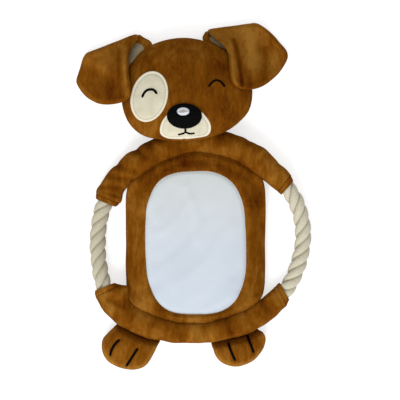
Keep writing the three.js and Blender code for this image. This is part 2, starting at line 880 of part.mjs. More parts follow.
add('head_front', head.front(), plushBrown);
add('head_back', head.back(), plushBrown);
add('head_filling', fromManifold(toManifold(head.filling()).subtract(squeakerPocket())), fillingWhite);
add('squeaker_bulb', squeakerBulb(), squeakerWhite, 0.4);
add('squeaker_reed', squeakerReed(), threadBlack, 0.4);

// Face
const patchLimitShare = 0.955;
const bareHead = (x, y) => head.top(x, y);
const headTop = (x, y) => bareHead(x, y) + layGap;
const eyePatchTop = (x, y) => headTop(x, y) + feltThickness;
const patchColumns = 22;
const patchSteps = 4;
const highlightColumns = 16;
const highlightSteps = 2;
const eyePatchTurn = THREE.MathUtils.degToRad(77.6);

function onHead(outline) {
  return cutOutline(outline, (x, y) => shareAt(head.outline, x, y) > patchLimitShare);
}

const muzzleShares = [
  [-0.996, -0.29], [-0.957, 0.145], [-0.84, 0.58], [-0.605, 0.942], [0, 1.087], [0.566, 1.087],
  [0.8, 0.725], [0.957, 0.29], [0.996, -0.145], [0.918, -0.543], [0.645, -0.797], [0.293, -0.928],
  [0.02, -0.891], [-0.059, -0.841], [-0.137, -0.92], [-0.449, -0.928], [-0.762, -0.797], [-0.9375, -0.601],
];
const eyePatchPlace = headPlace([-0.5725, -0.144]);
const muzzlePlace = headPlace([-0.023, -0.721]);
const nosePlace = headPlace([-0.038, -0.519]);
const highlightPlace = headPlace([-0.0565, -0.4135]);
const muzzleSize = new THREE.Vector2(muzzleHalfWidth, muzzleHalfHeight);

function addFace() {
  const [eyeLength, eyeWidth] = [eyePatchHalfLength, eyePatchHalfWidth];
  const eyePatch = onHead(ellipseOutline(eyePatchPlace, eyeLength, eyeWidth, eyePatchTurn));
  add('eye_patch', layer(eyePatch, patchColumns, patchSteps, headTop, feltThickness), feltCream, 0.85);
  const muzzle = onHead(drawnOutline(muzzlePlace, muzzleSize, muzzleShares));
  add('muzzle_patch', layer(muzzle, columnCount, patchSteps, headTop, feltThickness), feltCream, 0.85);
  const noseBase = (x, y) => eyePatchTop(x, y) + pieceGap;
  const nose = ellipseOutline(nosePlace, noseHalfWidth, noseHalfHeight);
  add('nose', layer(nose, patchColumns, patchSteps, noseBase, noseThickness), threadBlack, 0.6);
  const highlightBase = (x, y) => noseBase(x, y) + noseThickness + pieceGap;
  const highlight = ellipseOutline(highlightPlace, highlightHalfWidth, highlightHalfHeight);
  const sewnLight = layer(highlight, highlightColumns, highlightSteps, highlightBase, highlightThickness);
  add('nose_highlight', sewnLight, canvasWhite, 0.5);
}

const leftEyeShares = [
  [-0.679, -0.144], [-0.641, -0.048], [-0.595, 0.0], [-0.534, 0.013], [-0.489, -0.01], [-0.45, -0.077],
];
const rightEyeShares = [[0.328, 0.038], [0.382, 0.125], [0.45, 0.167], [0.519, 0.129], [0.58, 0.038]];
const mouthLeftShares = [[0, -0.26], [0, -0.34], [-0.059, -0.471], [-0.293, -0.594]];
const mouthRightShares = [[0, -0.26], [0, -0.34], [0.059, -0.435], [0.176, -0.507], [0.371, -0.471]];

function onMuzzle([shareX, shareY]) {
  return [muzzlePlace.x + shareX * muzzleHalfWidth, muzzlePlace.y + shareY * muzzleHalfHeight];
}

function addFaceStitches() {
  const eye = (shares, surface) => {
    const points = shares.map((share) => headPlace(share).toArray());
    return threadTube(points, surface, threadDiameter, eyeStitchSteps);
  };
  add('left_eye_stitch', eye(leftEyeShares, eyePatchTop), threadBlack);
  add('right_eye_stitch', eye(rightEyeShares, bareHead), threadBlack);
  const halves = [mouthLeftShares, mouthRightShares].map((shares) => {
    return toManifold(threadTube(shares.map(onMuzzle), eyePatchTop, threadDiameter, mouthStitchSteps));
  });
  add('mouth_stitch', fromManifold(halves[0].add(halves[1])), threadBlack);
}

addFace();
addFaceStitches();

// Ears: a root that leaves the head's seam, and a flap that folds over at the crest
const earLayouts = {
  left: {
    flapPlace: [-1.252, 0.375],
    basePlace: [-0.992, 0.683],
    crest: [[-0.35, 0.475], [0.79, 0.925]],
    root: [[0.55, -0.05], [1.175, 0.675]],
    flap: [
      [0.725, 0.9], [0.375, 0.78], [0, 0.6325], [-0.325, 0.505], [-0.4625, 0.4325], [-0.575, 0.2625],
      [-0.6375, 0.05], [-0.7, -0.175], [-0.73, -0.2875], [-0.6625, -0.4375], [-0.525, -0.625],
      [-0.375, -0.75], [-0.175, -0.8375], [0.075, -0.87], [0.325, -0.84], [0.55, -0.775],
      [0.6625, -0.6625], [0.65, -0.45], [0.6075, -0.15], [0.59, 0.15], [0.6, 0.4], [0.6625, 0.6],
      [0.775, 0.7375], [0.8625, 0.825],
    ],
    base: [
      [0.7375, 0.2875], [0.55, 0.4125], [0.3625, 0.495], [-0.05, 0.3425], [-0.425, 0.195],
      [-0.725, 0.0625], [-0.625, -0.15], [-0.3, -0.4], [0, -0.575], [0.45, -0.35], [0.75, 0.05],
    ],
  },
  right: {
    flapPlace: [0.962, 0.721],
    basePlace: [0.6565, 0.99],
    crest: [[-1.0375, 0.58], [0.1, 0.74]],
    root: [[-1.175, 0.3], [-0.225, -0.25]],
    flap: [
      [-1.0375, 0.58], [-0.625, 0.6325], [-0.25, 0.6925], [0.1, 0.74], [0.3, 0.65], [0.55, 0.4625],
      [0.775, 0.225], [0.925, 0.025], [0.96, -0.125], [0.875, -0.3125], [0.7, -0.55], [0.45, -0.7875],
      [0.2, -0.9175], [-0.075, -0.95], [-0.3125, -0.915], [-0.45, -0.775], [-0.5, -0.55],
      [-0.5175, -0.3], [-0.55, -0.075], [-0.6375, 0.125], [-0.7625, 0.275], [-0.9375, 0.3875],
      [-1.075, 0.4625],
    ],
    base: [
      [-0.675, -0.0625], [-0.6375, 0.125], [-0.55, 0.205], [-0.125, 0.2575], [0.25, 0.3175], [0.55, 0.35],
      [0.6, 0.2], [0.5, -0.175], [0.325, -0.5], [0.05, -0.55], [-0.375, -0.35],
    ],
  },
};
const earSize = new THREE.Vector2(earReach, earReach);
const earSteps = 4;
const beyondBaseShare = 1.05;
const beyondBaseRampShare = 0.5;

// The distance from a place to the head's outline, negative over the head
function headOutside(x, y) {
  const [dx, dy] = [x - headCentre.x, y - headCentre.y];
  return Math.hypot(dx, dy) - head.outline.reach(Math.atan2(dy, dx));
}

// Cloth that leaves the head's front at a tangent
function headDrape(x, y) {
  const share = shareAt(head.outline, x, y);
  if (share <= earLeaveShare) return head.top(x, y);
  const lift = head.lift(earLeaveShare);
  const slope = -(headFullnessShare * earLeaveShare ** (headFullnessShare - 1)) / (2 * lift);
  return head.seam(x, y) + headCrown * (lift + slope * (share - earLeaveShare));
}

function earPlaces(shares, centre) {
  return shares.map(([x, y]) => new THREE.Vector2(x, y).multiplyScalar(earReach).add(centre));
}

function earShape({ flapPlace, basePlace, crest, flap, base }) {
  const flapCentre = headPlace(flapPlace);
  const baseCentre = headPlace(basePlace);
  const [from, to] = earPlaces(crest, flapCentre);
  const along = to.clone().sub(from).normalize();
  const outward = new THREE.Vector2(-along.y, along.x);
  const insideCrest = (x, y) => -outward.dot(new THREE.Vector2(x, y).sub(from));
  const baseOutline = cutOutline(drawnOutline(baseCentre, earSize, base), (x, y) => {
    return insideCrest(x, y) < 0 || headOutside(x, y) < earRootGap;
  });
  const flapOutline = cutOutline(drawnOutline(flapCentre, earSize, flap), (x, y) => {
    return insideCrest(x, y) < 0;
  });
  const underside = (x, y) => {
    const inside = Math.max(0, insideCrest(x, y));
    const outside = Math.max(pieceGap, headOutside(x, y));
    return lerp(0, head.seam(x, y) - earThickness / 2, smoothstep(inside / (inside + outside)));
  };
  const flapUnderside = (x, y) => {
    const overBase = underside(x, y) + earThickness + layGap;
    const beyond = smoothstep((shareAt(baseOutline, x, y) - beyondBaseShare) / beyondBaseRampShare);
    const low = lerp(overBase, pieceGap, beyond);
    const draped = softMax(headDrape(x, y) + earLayGap, low, earDrapeSoftness);
    const lain = lerp(low, draped, smoothstep(insideCrest(x, y) / earCrestRamp));
    const overHead = headOutside(x, y) < 0 ? head.top(x, y) + earLayGap : 0;
    return Math.max(lain, overHead, low);
  };
  return { baseOutline, flapOutline, underside, flapUnderside, from, to };
}

const ears = { left: earShape(earLayouts.left), right: earShape(earLayouts.right) };

function addEar(side) {
  const { baseOutline, flapOutline, underside, flapUnderside } = ears[side];
  const raised = (surface, height) => (x, y) => surface(x, y) + height;
  const part = (outline, surface, thickness) => {
    return layer(outline, smallColumnCount, earSteps, surface, thickness);
  };
  add(`${side}_ear_root_outer`, part(baseOutline, underside, plushThickness), plushBrown);
  const rootLining = raised(underside, plushThickness + pieceGap);
  add(`${side}_ear_root_lining`, part(baseOutline, rootLining, liningThickness), liningBeige);
  add(`${side}_ear_flap_lining`, part(flapOutline, flapUnderside, liningThickness), liningBeige);
  const flapOuter = raised(flapUnderside, liningThickness + pieceGap);
  add(`${side}_ear_flap_outer`, part(flapOutline, flapOuter, plushThickness), plushBrown);
}

addEar('left');
addEar('right');

// Feet: small pads that are sewn to the seat's outer edge
const footLayouts = {
  left: {
    place: [-0.675, -1.183],
    outline: [
      [-0.964, 0.446], [-1.043, 0.214], [-1.036, -0.036], [-0.946, -0.286], [-0.75, -0.5],
      [-0.464, -0.661], [-0.107, -0.75], [0.214, -0.743], [0.5, -0.625], [0.714, -0.375],
      [0.857, -0.107], [0.964, 0.143], [1.036, 0.375], [0.68, 0.86], [0.5, 0.964],
      [-0.214, 1.107], [-0.554, 0.839],
    ],
    toes: [
      [[-0.393, 0.339], [-0.536, 0.214], [-0.679, 0], [-0.75, -0.25]],
      [[0.25, 0.036], [0.035, -0.3], [-0.179, -0.625]],
    ],
  },
  right: {
    place: [0.367, -1.162],
    outline: [
      [-0.946, 0.161], [-0.893, -0.107], [-0.804, -0.321], [-0.643, -0.518], [-0.393, -0.661],
      [-0.071, -0.714], [0.25, -0.643], [0.571, -0.482], [0.786, -0.25], [0.929, -0.018],
      [1.0, 0.25], [0.964, 0.429], [0.857, 0.554], [0.714, 0.625], [0.43, 0.89],
      [-0.464, 0.68], [-0.857, 0.43],
    ],
    toes: [
      [[-0.357, 0.179], [-0.24, -0.16], [-0.089, -0.5]],
      [[0.321, 0.429], [0.44, 0.12], [0.571, -0.214]],
    ],
  },
};
const footSteps = 4;

function footClearance(x, y) {
  const swings = Math.abs(x) > foldPlace - foldRadius;
  return nearestSleeve(x, y).clearance - (swings ? footFoldClearance : pieceGap);
}

function footShape({ place, outline }) {
  const centre = new THREE.Vector2(
    ringCentreX + place[0] * ringHalfWidth,
    ringCentreY + place[1] * ringHalfHeight,
  );
  const size = new THREE.Vector2(footReach, footReach);
  const pad = new Pad({
    outline: cutOutline(drawnOutline(centre, size, outline), (x, y) => {
      return footClearance(x, y) < 0;
    }),
    columns: smallColumnCount,
    steps: footSteps,
    seam: () => footSeamHeight,
    crown: footCrown,
    sag: footSeamHeight + restFlat,
    fullness: footFullnessShare,
    swell: (x, y) => {
      const climb = THREE.MathUtils.clamp(footClearance(x, y) / footRamp, 0, 1);
      return Math.sin((Math.PI / 2) * climb);
    },
  });
  const { t } = nearestSleeve(centre.x, centre.y);
  const outward = routeOutward(t);
  const hinge = routePoint(t).addScaledVector(outward, sleeveHalfWidth(t) + pieceGap);
  hinge.z = footSeamHeight;
  return { pad, centre, hinge, axis: [-outward.y, outward.x, 0] };
}

const feet = { left: footShape(footLayouts.left), right: footShape(footLayouts.right) };

function addFoot(side) {
  const { pad, centre } = feet[side];
  add(`${side}_foot_front`, pad.front(), plushBrown);
  add(`${side}_foot_filling`, pad.filling(), fillingWhite);
  add(`${side}_foot_back`, pad.back(), plushBrown);
  footLayouts[side].toes.forEach((toe, index) => {
    const points = toe.map(([x, y]) => [centre.x + x * footReach, centre.y + y * footReach]);
    const surface = (x, y) => pad.top(x, y) + pieceGap;
    const stitch = threadTube(points, surface, threadDiameter, toeStitchSteps);
    add(`${side}_foot_toe_stitch_${index + 1}`, stitch, threadBlack);
  });
}

addFoot('left');
addFoot('right');

// The fold lines and hinges, in the layout's frame
const neckHinge = [
  ringCentreX + routeShares[0][0] * ringHalfWidth,
  headCentreY - headHalfHeight,
  sleeveHeight - restFlat + headRestClearance,
];

function hingeBetween(start, end, heightAt) {
  const place = start.clone().add(end).divideScalar(2);
  const axis = end.clone().sub(start).normalize();
  return { place: [place.x, place.y, heightAt(place.x, place.y)], axis: [axis.x, axis.y, 0] };
}

function earHinges({ from, to, underside }, { root, basePlace }, side) {
  const ends = earPlaces(root, headPlace(basePlace));
  const [start, end] = side === 'left' ? ends : ends.toReversed();
  return {
    root: hingeBetween(start, end, underside),
    crest: hingeBetween(to, from, () => earThickness + pieceGap / 2),
  };
}

toy.userData.joints = {
  neck: neckHinge,
  leftEar: earHinges(ears.left, earLayouts.left, 'left'),
  rightEar: earHinges(ears.right, earLayouts.right, 'right'),
  handleFold: [foldPlace, 0, sleeveAxisHeight],
  leftFoot: { place: feet.left.hinge.toArray(), axis: feet.left.axis },
  rightFoot: { place: feet.right.hinge.toArray(), axis: feet.right.axis },
};

// The origin is under the middle of the whole toy, on the ground
const box = new THREE.Box3().setFromObject(toy);
const boxCentre = box.getCenter(new THREE.Vector3());
toy.position.set(-boxCentre.x, -boxCentre.y, -box.min.z);

export default toy;
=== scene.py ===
import json
import math

import bpy
import numpy as np
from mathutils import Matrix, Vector, noise
from mathutils.bvhtree import BVHTree
from mathutils.kdtree import KDTree


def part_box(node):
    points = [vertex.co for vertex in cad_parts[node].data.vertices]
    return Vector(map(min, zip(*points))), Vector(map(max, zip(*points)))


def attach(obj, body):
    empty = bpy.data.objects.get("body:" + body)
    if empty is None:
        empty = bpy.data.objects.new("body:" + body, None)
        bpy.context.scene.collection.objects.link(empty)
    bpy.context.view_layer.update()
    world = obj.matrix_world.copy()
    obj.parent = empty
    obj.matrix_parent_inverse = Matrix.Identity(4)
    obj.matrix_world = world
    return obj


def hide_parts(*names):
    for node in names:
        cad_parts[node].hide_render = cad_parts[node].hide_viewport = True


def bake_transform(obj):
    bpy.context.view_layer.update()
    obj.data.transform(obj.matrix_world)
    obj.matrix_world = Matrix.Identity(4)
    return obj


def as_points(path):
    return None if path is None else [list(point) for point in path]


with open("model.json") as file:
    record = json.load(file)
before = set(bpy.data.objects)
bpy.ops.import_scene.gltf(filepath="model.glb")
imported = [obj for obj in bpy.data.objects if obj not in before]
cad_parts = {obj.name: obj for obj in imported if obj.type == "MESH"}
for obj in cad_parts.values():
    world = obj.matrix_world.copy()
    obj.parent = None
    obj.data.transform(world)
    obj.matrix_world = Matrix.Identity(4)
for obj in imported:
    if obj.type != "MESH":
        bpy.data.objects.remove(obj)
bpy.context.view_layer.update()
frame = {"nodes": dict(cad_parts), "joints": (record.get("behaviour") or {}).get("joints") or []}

MM = 0.001
TINY = 1e-9
FULL_TURN = 2 * np.pi
UP = np.array([0, 0, 1.0])
joints = {joint["name"]: joint for joint in frame["joints"]}
left_fold = np.array(joints["left_handle_fold"]["pos_m"])
right_fold = np.array(joints["right_handle_fold"]["pos_m"])

# The body's middle, in plan, carries the layout of the whole toy
BODY_CENTRE = (left_fold + right_fold)[:2] / 2
FOLD_REACH = (right_fold - left_fold)[0] / 2
SLEEVE_AXIS = left_fold[2]

# Photograph: 400 x 400 pixels, one to a millimetre, and the pixel at the body's middle
PHOTO_SIZE = 400
PHOTO_BODY = np.array([195.5, 242.75])
CAMERA_DISTANCE = 6.0
SENSOR_WIDTH = 36.0

# Studio: a pale floor under a white sky, and one soft lamp
WHITE = (1, 1, 1, 1)
AMBIENT = 0.62
KEY_PLACE = (-1.0, -3.2, 2.9)
KEY_SIZE = 2.4
KEY_POWER = 112
FLOOR_SIZE = 6.0
FLOOR_DROP = 0.2 * MM
FLOOR_SHADE = 0.7
FLOOR_GLOW = 0.62

# Rope ring: its route's points are shares of its half sizes, clockwise from the top
ROPE_DIAMETER = 16 * MM
RING_CENTRE = BODY_CENTRE + np.array([4.8, 7]) * MM
RING_HALF = np.array([102.7, 95.75]) * MM
ROUTE_SHARES = np.array([
    (-0.052, 1.0), (0.255, 0.948), (0.497, 0.83), (0.698, 0.661), (0.854, 0.49), (0.952, 0.3),
    (1.0, 0.06), (0.985, -0.17), (0.92, -0.4), (0.834, -0.56), (0.68, -0.735), (0.508, -0.862),
    (0.25, -0.968), (-0.052, -1.013), (-0.373, -0.978), (-0.62, -0.88), (-0.81, -0.74),
    (-0.93, -0.545), (-0.985, -0.3), (-1.0, -0.05), (-0.975, 0.19), (-0.925, 0.355),
    (-0.84, 0.535), (-0.7, 0.69), (-0.5, 0.838), (-0.28, 0.945),
])
CUFF_POINTS = {"right_arm": 4, "right_leg": 9, "left_leg": 17, "left_arm": 21}

# Sleeves round the rope
YOKE_WIDTH = 26 * MM
SEAT_WIDTH = 21.5 * MM
LEG_BULGE = 3.5 * MM
SLEEVE_HEIGHT = 24 * MM
CUFF_WIDTH = 21 * MM
CUFF_HEIGHT = 19 * MM
TAPER_SHARE = 0.5

# Head
HEAD_HALF = np.array([65.5, 52]) * MM
HEAD_CENTRE = BODY_CENTRE + np.array([-8.5, 153.25]) * MM


# Numbers
def smoothstep(value):
    t = np.clip(value, 0, 1)
    return t * t * (3 - 2 * t)


def lerp(a, b, share):
    return a + (b - a) * share


def soft_max(a, b, softness):
    return (a + b + np.hypot(a - b, softness)) / 2


def bell(distance, width):
    return np.exp(-((distance / width) ** 2))


def around(count):
    """The angles of points all round, from 0."""
    return FULL_TURN * np.arange(count) / count


def lengths(vectors):
    return np.linalg.norm(vectors, axis=-1)


def run_along(line):
    """How far along a line each of its points is."""
    return np.concatenate([[0], np.cumsum(lengths(np.diff(line, axis=0)))])


def from_photo(pixels):
    """The places in plan of pixels of the photograph."""
    offset = (np.asarray(pixels, float) - PHOTO_BODY) * MM
    return BODY_CENTRE + offset * np.array([1, -1])


def noise_at(points, size, seed):
    """Smooth noise from -1 to 1 with features of about that size."""
    return np.array([noise.noise(Vector(p) / size + Vector((seed, seed, seed))) for p in points])


def catmull_rom(p0, p1, p2, p3, w):
    linear = (p2 - p0) * w
    square = (2 * p0 - 5 * p1 + 4 * p2 - p3) * w**2
    cube = (3 * p1 - p0 - 3 * p2 + p3) * w**3
    return 0.5 * (2 * p1 + linear + square + cube)


def smooth_line(points, steps, closed=False):
    """A smooth line through given points."""
    points = np.asarray(points, float)
    last = len(points) - 1
    spans = np.arange(len(points) if closed else last)
    places = [(spans + k) % (last + 1) if closed else np.clip(spans + k, 0, last) for k in (-1, 0, 1, 2)]
    shares = np.arange(steps)[:, None] / steps
    line = catmull_rom(*(points[place][:, None] for place in places), shares).reshape(-1, 2)
    return line if closed else np.vstack([line, points[-1:]])


def distance_to_line(xy, line):
    """How far each place is from a line of points, in plan."""
    best = np.full(len(xy), np.inf)
    for a, b in zip(line[:-1], line[1:]):
        span = b - a
        share = np.clip(((xy - a) @ span) / (span @ span), 0, 1)
        best = np.minimum(best, lengths(xy - a - share[:, None] * span))
    return best


def spots(xy, marks):
    """The sum of round marks: pixel, radius in millimetres and amount."""
    total = np.zeros(len(xy))
    for pixel, radius, amount in marks:
        total += amount * bell(lengths(xy - from_photo(pixel)), radius * MM)
    return total


def creases(xy, folds):
    """The sum of marks along smooth lines: pixels, width and height in millimetres."""
    total = np.zeros(len(xy))
    for pixels, width, height in folds:
        line = smooth_line(from_photo(pixels), 6)
        total += height * MM * bell(distance_to_line(xy, line), width * MM)
    return total


# Material nodes
def srgb(red, green, blue):
    """A linear colour from screen values of 0 to 255."""
    values = np.array([red, green, blue]) / 255
    low = values / 12.92
    high = ((values + 0.055) / 1.055) ** 2.4
    return (*np.where(values <= 0.04045, low, high), 1.0)


class Nodes:
    """Short calls that add and join the nodes of a material or a world."""

    def __init__(self, owner):
        owner.use_nodes = True
        self.nodes, self.links = owner.node_tree.nodes, owner.node_tree.links

    def join(self, value, socket):
        if isinstance(value, bpy.types.NodeSocket):
            self.links.new(value, socket)
        else:
            socket.default_value = value

    def fill(self, node, inputs):
        """Sets a node's inputs, by index or by name, to values or to other nodes' outputs."""
        for key, value in inputs.items():
            self.join(value, node.inputs[key.replace("_", " ") if isinstance(key, str) else key])
        return node

    def add(self, kind, *values, **inputs):
        return self.fill(self.nodes.new("ShaderNode" + kind), {**dict(enumerate(values)), **inputs})

    def math(self, operation, a, b):
        node = self.add("Math", a, b)
        node.operation = operation
        return node.outputs[0]


class Shader(Nodes):
    """A procedural material, whose colours are screen values."""

    def __init__(self, name, **sockets):
        self.material = bpy.data.materials.new(name)
        super().__init__(self.material)
        self.surface = self.fill(self.nodes["Principled BSDF"], sockets)
        self.where = self.add("TexCoord").outputs["Object"]

    def noise(self, size, detail=2.0, roughness=0.5, stretch=None, distortion=0.0):
        where = self.where
        if stretch:
            where = self.add("Mapping", Vector=where, Scale=stretch).outputs["Vector"]
        node = self.add("TexNoise", Vector=where, Scale=1 / size, Detail=detail, Roughness=roughness)
        return self.fill(node, {"Distortion": distortion}).outputs["Fac"]

    def cells(self, size):
        return self.add("TexVoronoi", Vector=self.where, Scale=1 / size).outputs["Distance"]

    def waves(self, size, direction="DIAGONAL", distortion=0.0):
        node = self.add("TexWave", Vector=self.where, Scale=1 / size, Distortion=distortion)
        node.bands_direction = direction
        return node.outputs["Fac"]

    def weave(self, size):
        return self.math("MULTIPLY", self.waves(size, "X"), self.waves(size, "Y"))

    def attribute(self, name):
        node = self.add("Attribute")
        node.attribute_name = name
        return node.outputs["Fac"]

    def ramp(self, source, *stops):
        node = self.add("ValToRGB", Fac=source)
        elements = node.color_ramp.elements
        while len(elements) < len(stops):
            elements.new(0.5)
        for element, (place, colour) in zip(elements, stops):
            element.position = place
            element.color = srgb(*colour)
        return node.outputs["Color"]

    def tint(self, base, colour, source, weight=1.0):
        """A base that takes on a colour as far as the source says."""
        node = self.nodes.new("ShaderNodeMix")
        node.data_type = "RGBA"
        share = self.math("MULTIPLY", source, weight)
        return self.fill(node, {0: share, 6: base, 7: srgb(*colour)}).outputs[2]

    def finish(self, colour, *bumps):
        """Joins the colour and the bumps: height, strength and depth."""
        self.join(colour, self.surface.inputs["Base Color"])
        normal = self.surface.inputs["Normal"]
        for height, strength, depth in bumps:
            node = self.add("Bump", Strength=strength, Distance=depth, Height=height)
            if normal.is_linked:
                self.join(normal.links[0].from_socket, node.inputs["Normal"])
            self.join(node.outputs["Normal"], normal)
        return self.material


# Camera, light and floor
def add_object(name, data):
    made = bpy.data.objects.new(name, data)
    bpy.context.scene.collection.objects.link(made)
    return made


def add_camera():
    data = bpy.data.cameras.new("camera")
    data.sensor_width = SENSOR_WIDTH
    data.lens = SENSOR_WIDTH * CAMERA_DISTANCE / (PHOTO_SIZE * MM)
    data.clip_end = 4 * CAMERA_DISTANCE
    camera = add_object("camera", data)
    camera.location = (*from_photo((PHOTO_SIZE / 2, PHOTO_SIZE / 2)), CAMERA_DISTANCE + SLEEVE_AXIS)
    bpy.context.scene.camera = camera


def add_lamp():
    data = bpy.data.lights.new("key", "AREA")
    data.shape = "DISK"
    data.size = KEY_SIZE
    data.energy = KEY_POWER
    lamp = add_object("key", data)
    lamp.location = KEY_PLACE
    lamp.rotation_euler = (-Vector(KEY_PLACE)).to_track_quat("-Z", "Y").to_euler()


def seen_directly(tree):
    """1 for camera, glossy and transmission rays, 0 for the light that falls on the toy."""
    rays = tree.add("LightPath").outputs
    mirrored = tree.math("MAXIMUM", rays["Is Glossy Ray"], rays["Is Transmission Ray"])
    return tree.math("MAXIMUM", rays["Is Camera Ray"], mirrored)


def add_sky():
    world = bpy.context.scene.world = bpy.data.worlds.new("studio")
    tree = Nodes(world)
    light = tree.fill(tree.nodes["Background"], {"Color": WHITE, "Strength": AMBIENT})
    backdrop = tree.add("Background", Color=WHITE)
    mix = tree.add("MixShader", seen_directly(tree), light.outputs[0], backdrop.outputs[0])
    tree.join(mix.outputs[0], tree.nodes["World Output"].inputs["Surface"])


def add_floor():
    mesh = bpy.data.meshes.new("floor")
    half = FLOOR_SIZE / 2
    corners = [(-half, -half, 0), (half, -half, 0), (half, half, 0), (-half, half, 0)]
    mesh.from_pydata(corners, [], [(0, 1, 2, 3)])
    floor = add_object("floor", mesh)
    floor.location.z = -FLOOR_DROP
    shader = Shader("floor", Roughness=1, Specular_IOR_Level=0, Emission_Color=WHITE)
    glow = shader.math("MULTIPLY", seen_directly(shader), FLOOR_GLOW)
    shader.fill(shader.surface, {"Base Color": (FLOOR_SHADE,) * 3 + (1,), "Emission Strength": glow})
    mesh.materials.append(shader.material)


bpy.context.scene.view_settings.view_transform = "Standard"
add_camera()
add_lamp()
add_sky()
add_floor()


# Ring route: shares of a whole turn, clockwise from the top
def cuff(limb):
    return CUFF_POINTS[limb] / len(ROUTE_SHARES)


def between(t, start, end):
    """How far each share of the turn is on its way between two others, 0 outside them."""
    share = (t % 1 - start) / (end - start)
    return np.where((share > 0) & (share < 1), share, 0)


def route_height(t):
    """The rope sinks from the cuffs to the ground on its way between them."""
    free = between(t, cuff("right_arm"), cuff("right_leg")) + between(t, cuff("left_leg"), cuff("left_arm"))
    return lerp(SLEEVE_AXIS, ROPE_DIAMETER / 2, np.sin(np.pi * free) ** 2)


def route_point(t):
    t = np.asarray(t, float) % 1
    points = RING_CENTRE + ROUTE_SHARES * RING_HALF
    place = t * len(points)
    index = np.floor(place).astype(int)
    corners = [points[(index + k) % len(points)] for k in (-1, 0, 1, 2)]
    flat = catmull_rom(*corners, (place - index)[:, None])
    return np.column_stack([flat, route_height(t)])


def route_frame(t):
    """The route's points, its directions and the level directions away from the ring's middle."""
    step = 1e-4
    t = np.asarray(t, float)
    along = route_point(t + step) - route_point(t - step)
    along /= lengths(along)[:, None]
    outward = np.column_stack([-along[:, 1], along[:, 0], np.zeros(len(t))])
    return route_point(t), along, outward / lengths(outward)[:, None]


def frame_at(t):
    """The same three at one place."""
    return (values[0] for values in route_frame([t]))


ROUTE_LENGTH = run_along(route_point(np.linspace(0, 1, 2001)))[-1]
LOWER_SHARES = (cuff("right_arm") + cuff("right_leg")) / 2, (cuff("left_leg") + cuff("left_arm")) / 2


def limb_share(t):
    """0 in the middle of the yoke or seat, 1 at a cuff and all along the free rope."""
    places = [0, cuff("right_arm"), cuff("right_leg"), 0.5, cuff("left_leg"), cuff("left_arm"), 1]
    return np.interp(t % 1, places, [0, 1, 1, 0, 1, 1, 0])


def taper(share):
    return smoothstep((share - TAPER_SHARE) / (1 - TAPER_SHARE))


def sleeve_half_width(t):
    share = limb_share(t)
    seat = lerp(SEAT_WIDTH, CUFF_WIDTH, smoothstep(share)) + LEG_BULGE * np.sin(np.pi * share) ** 2
    yoke = lerp(YOKE_WIDTH, CUFF_WIDTH, taper(share))
    return np.where(between(t, *LOWER_SHARES) > 0, seat, yoke) / 2


def sleeve_half_height(t):
    return lerp(SLEEVE_HEIGHT, CUFF_HEIGHT, taper(limb_share(t))) / 2


SLEEVE_TURNS = np.linspace(0, 1, 400, endpoint=False)
SLEEVE_PLACES = route_point(SLEEVE_TURNS)[:, :2]
SLEEVE_HALVES = sleeve_half_width(SLEEVE_TURNS)


def sleeve_clearance(xy):
    """How far each place is from the nearest sleeve's edge, in plan, negative over the sleeve."""
    batches = np.array_split(np.asarray(xy, float), 1 + len(xy) // 2000)
    edges = [lengths(batch[:, None] - SLEEVE_PLACES[None]) - SLEEVE_HALVES for batch in batches]
    return np.concatenate([edge.min(axis=1) for edge in edges])


# Meshes
def new_object(name, points, faces):
    mesh = bpy.data.meshes.new(name)
    mesh.from_pydata([tuple(p) for p in points], [], [tuple(int(i) for i in f) for f in faces])
    mesh.validate()
    mesh.shade_smooth()
    return add_object(name, mesh)


def points_of(piece):
    flat = np.empty(len(piece.data.vertices) * 3)
    piece.data.vertices.foreach_get("co", flat)
    return flat.reshape(-1, 3)


def set_points(piece, points):
    piece.data.vertices.foreach_set("co", np.ascontiguousarray(points, np.float32).ravel())
    piece.data.update()


def normals_of(piece):
    flat = np.empty(len(piece.data.vertices) * 3, np.float32)
    piece.data.vertex_normals.foreach_get("vector", flat)
    return flat.reshape(-1, 3)


def edges_of(piece):
    flat = np.empty(len(piece.data.edges) * 2, int)
    piece.data.edges.foreach_get("vertices", flat)
    return flat.reshape(-1, 2)


def store(piece, name, values):
    """Keeps a value at each point, for the materials."""
    attribute = piece.data.attributes.new(name, "FLOAT", "POINT")
    attribute.data.foreach_set("value", np.asarray(values, np.float32))


def push(piece, amount):
    """Moves each point along its normal."""
    set_points(piece, points_of(piece) + normals_of(piece) * amount[:, None])


def ruffle(piece, size, height, seed):
    push(piece, noise_at(points_of(piece), size, seed) * height)


def ring_faces(rings, count):
    """Quads between rings of points, each ring closed round."""
    ring = [(i, (i + 1) % count, (i + 1) % count + count, i + count) for i in range(count)]
    return [tuple(k * count + i for i in face) for k in range(rings - 1) for face in ring]


def rings_object(name, rings, start_cap=False, end_cap=False):
    """A tube through rings of points; a cap closes an end on the ring's middle."""
    rings = np.asarray(rings)
    count = rings.shape[1]
    points = rings.reshape(-1, 3)
    faces = ring_faces(len(rings), count)
    for cap, ring, step in ((start_cap, 0, -1), (end_cap, len(rings) - 1, 1)):
        if cap:
            edge = [(ring * count + i, ring * count + (i + 1) % count) for i in range(count)]
            faces += [(len(points), *pair[::step]) for pair in edge]
            points = np.vstack([points, rings[ring].mean(0)])
    return new_object(name, points, faces)


def closed_tube(name, rings):
    """A tube that is capped at both ends, with its faces outwards."""
    tube = rings_object(name, rings, True, True)
    tube.data.calc_loop_triangles()
    corners = np.empty(len(tube.data.loop_triangles) * 3, int)
    tube.data.loop_triangles.foreach_get("vertices", corners)
    a, b, c = points_of(tube)[corners.reshape(-1, 3).T]
    if (a * np.cross(b, c)).sum() < 0:
        tube.data.flip_normals()
    return tube


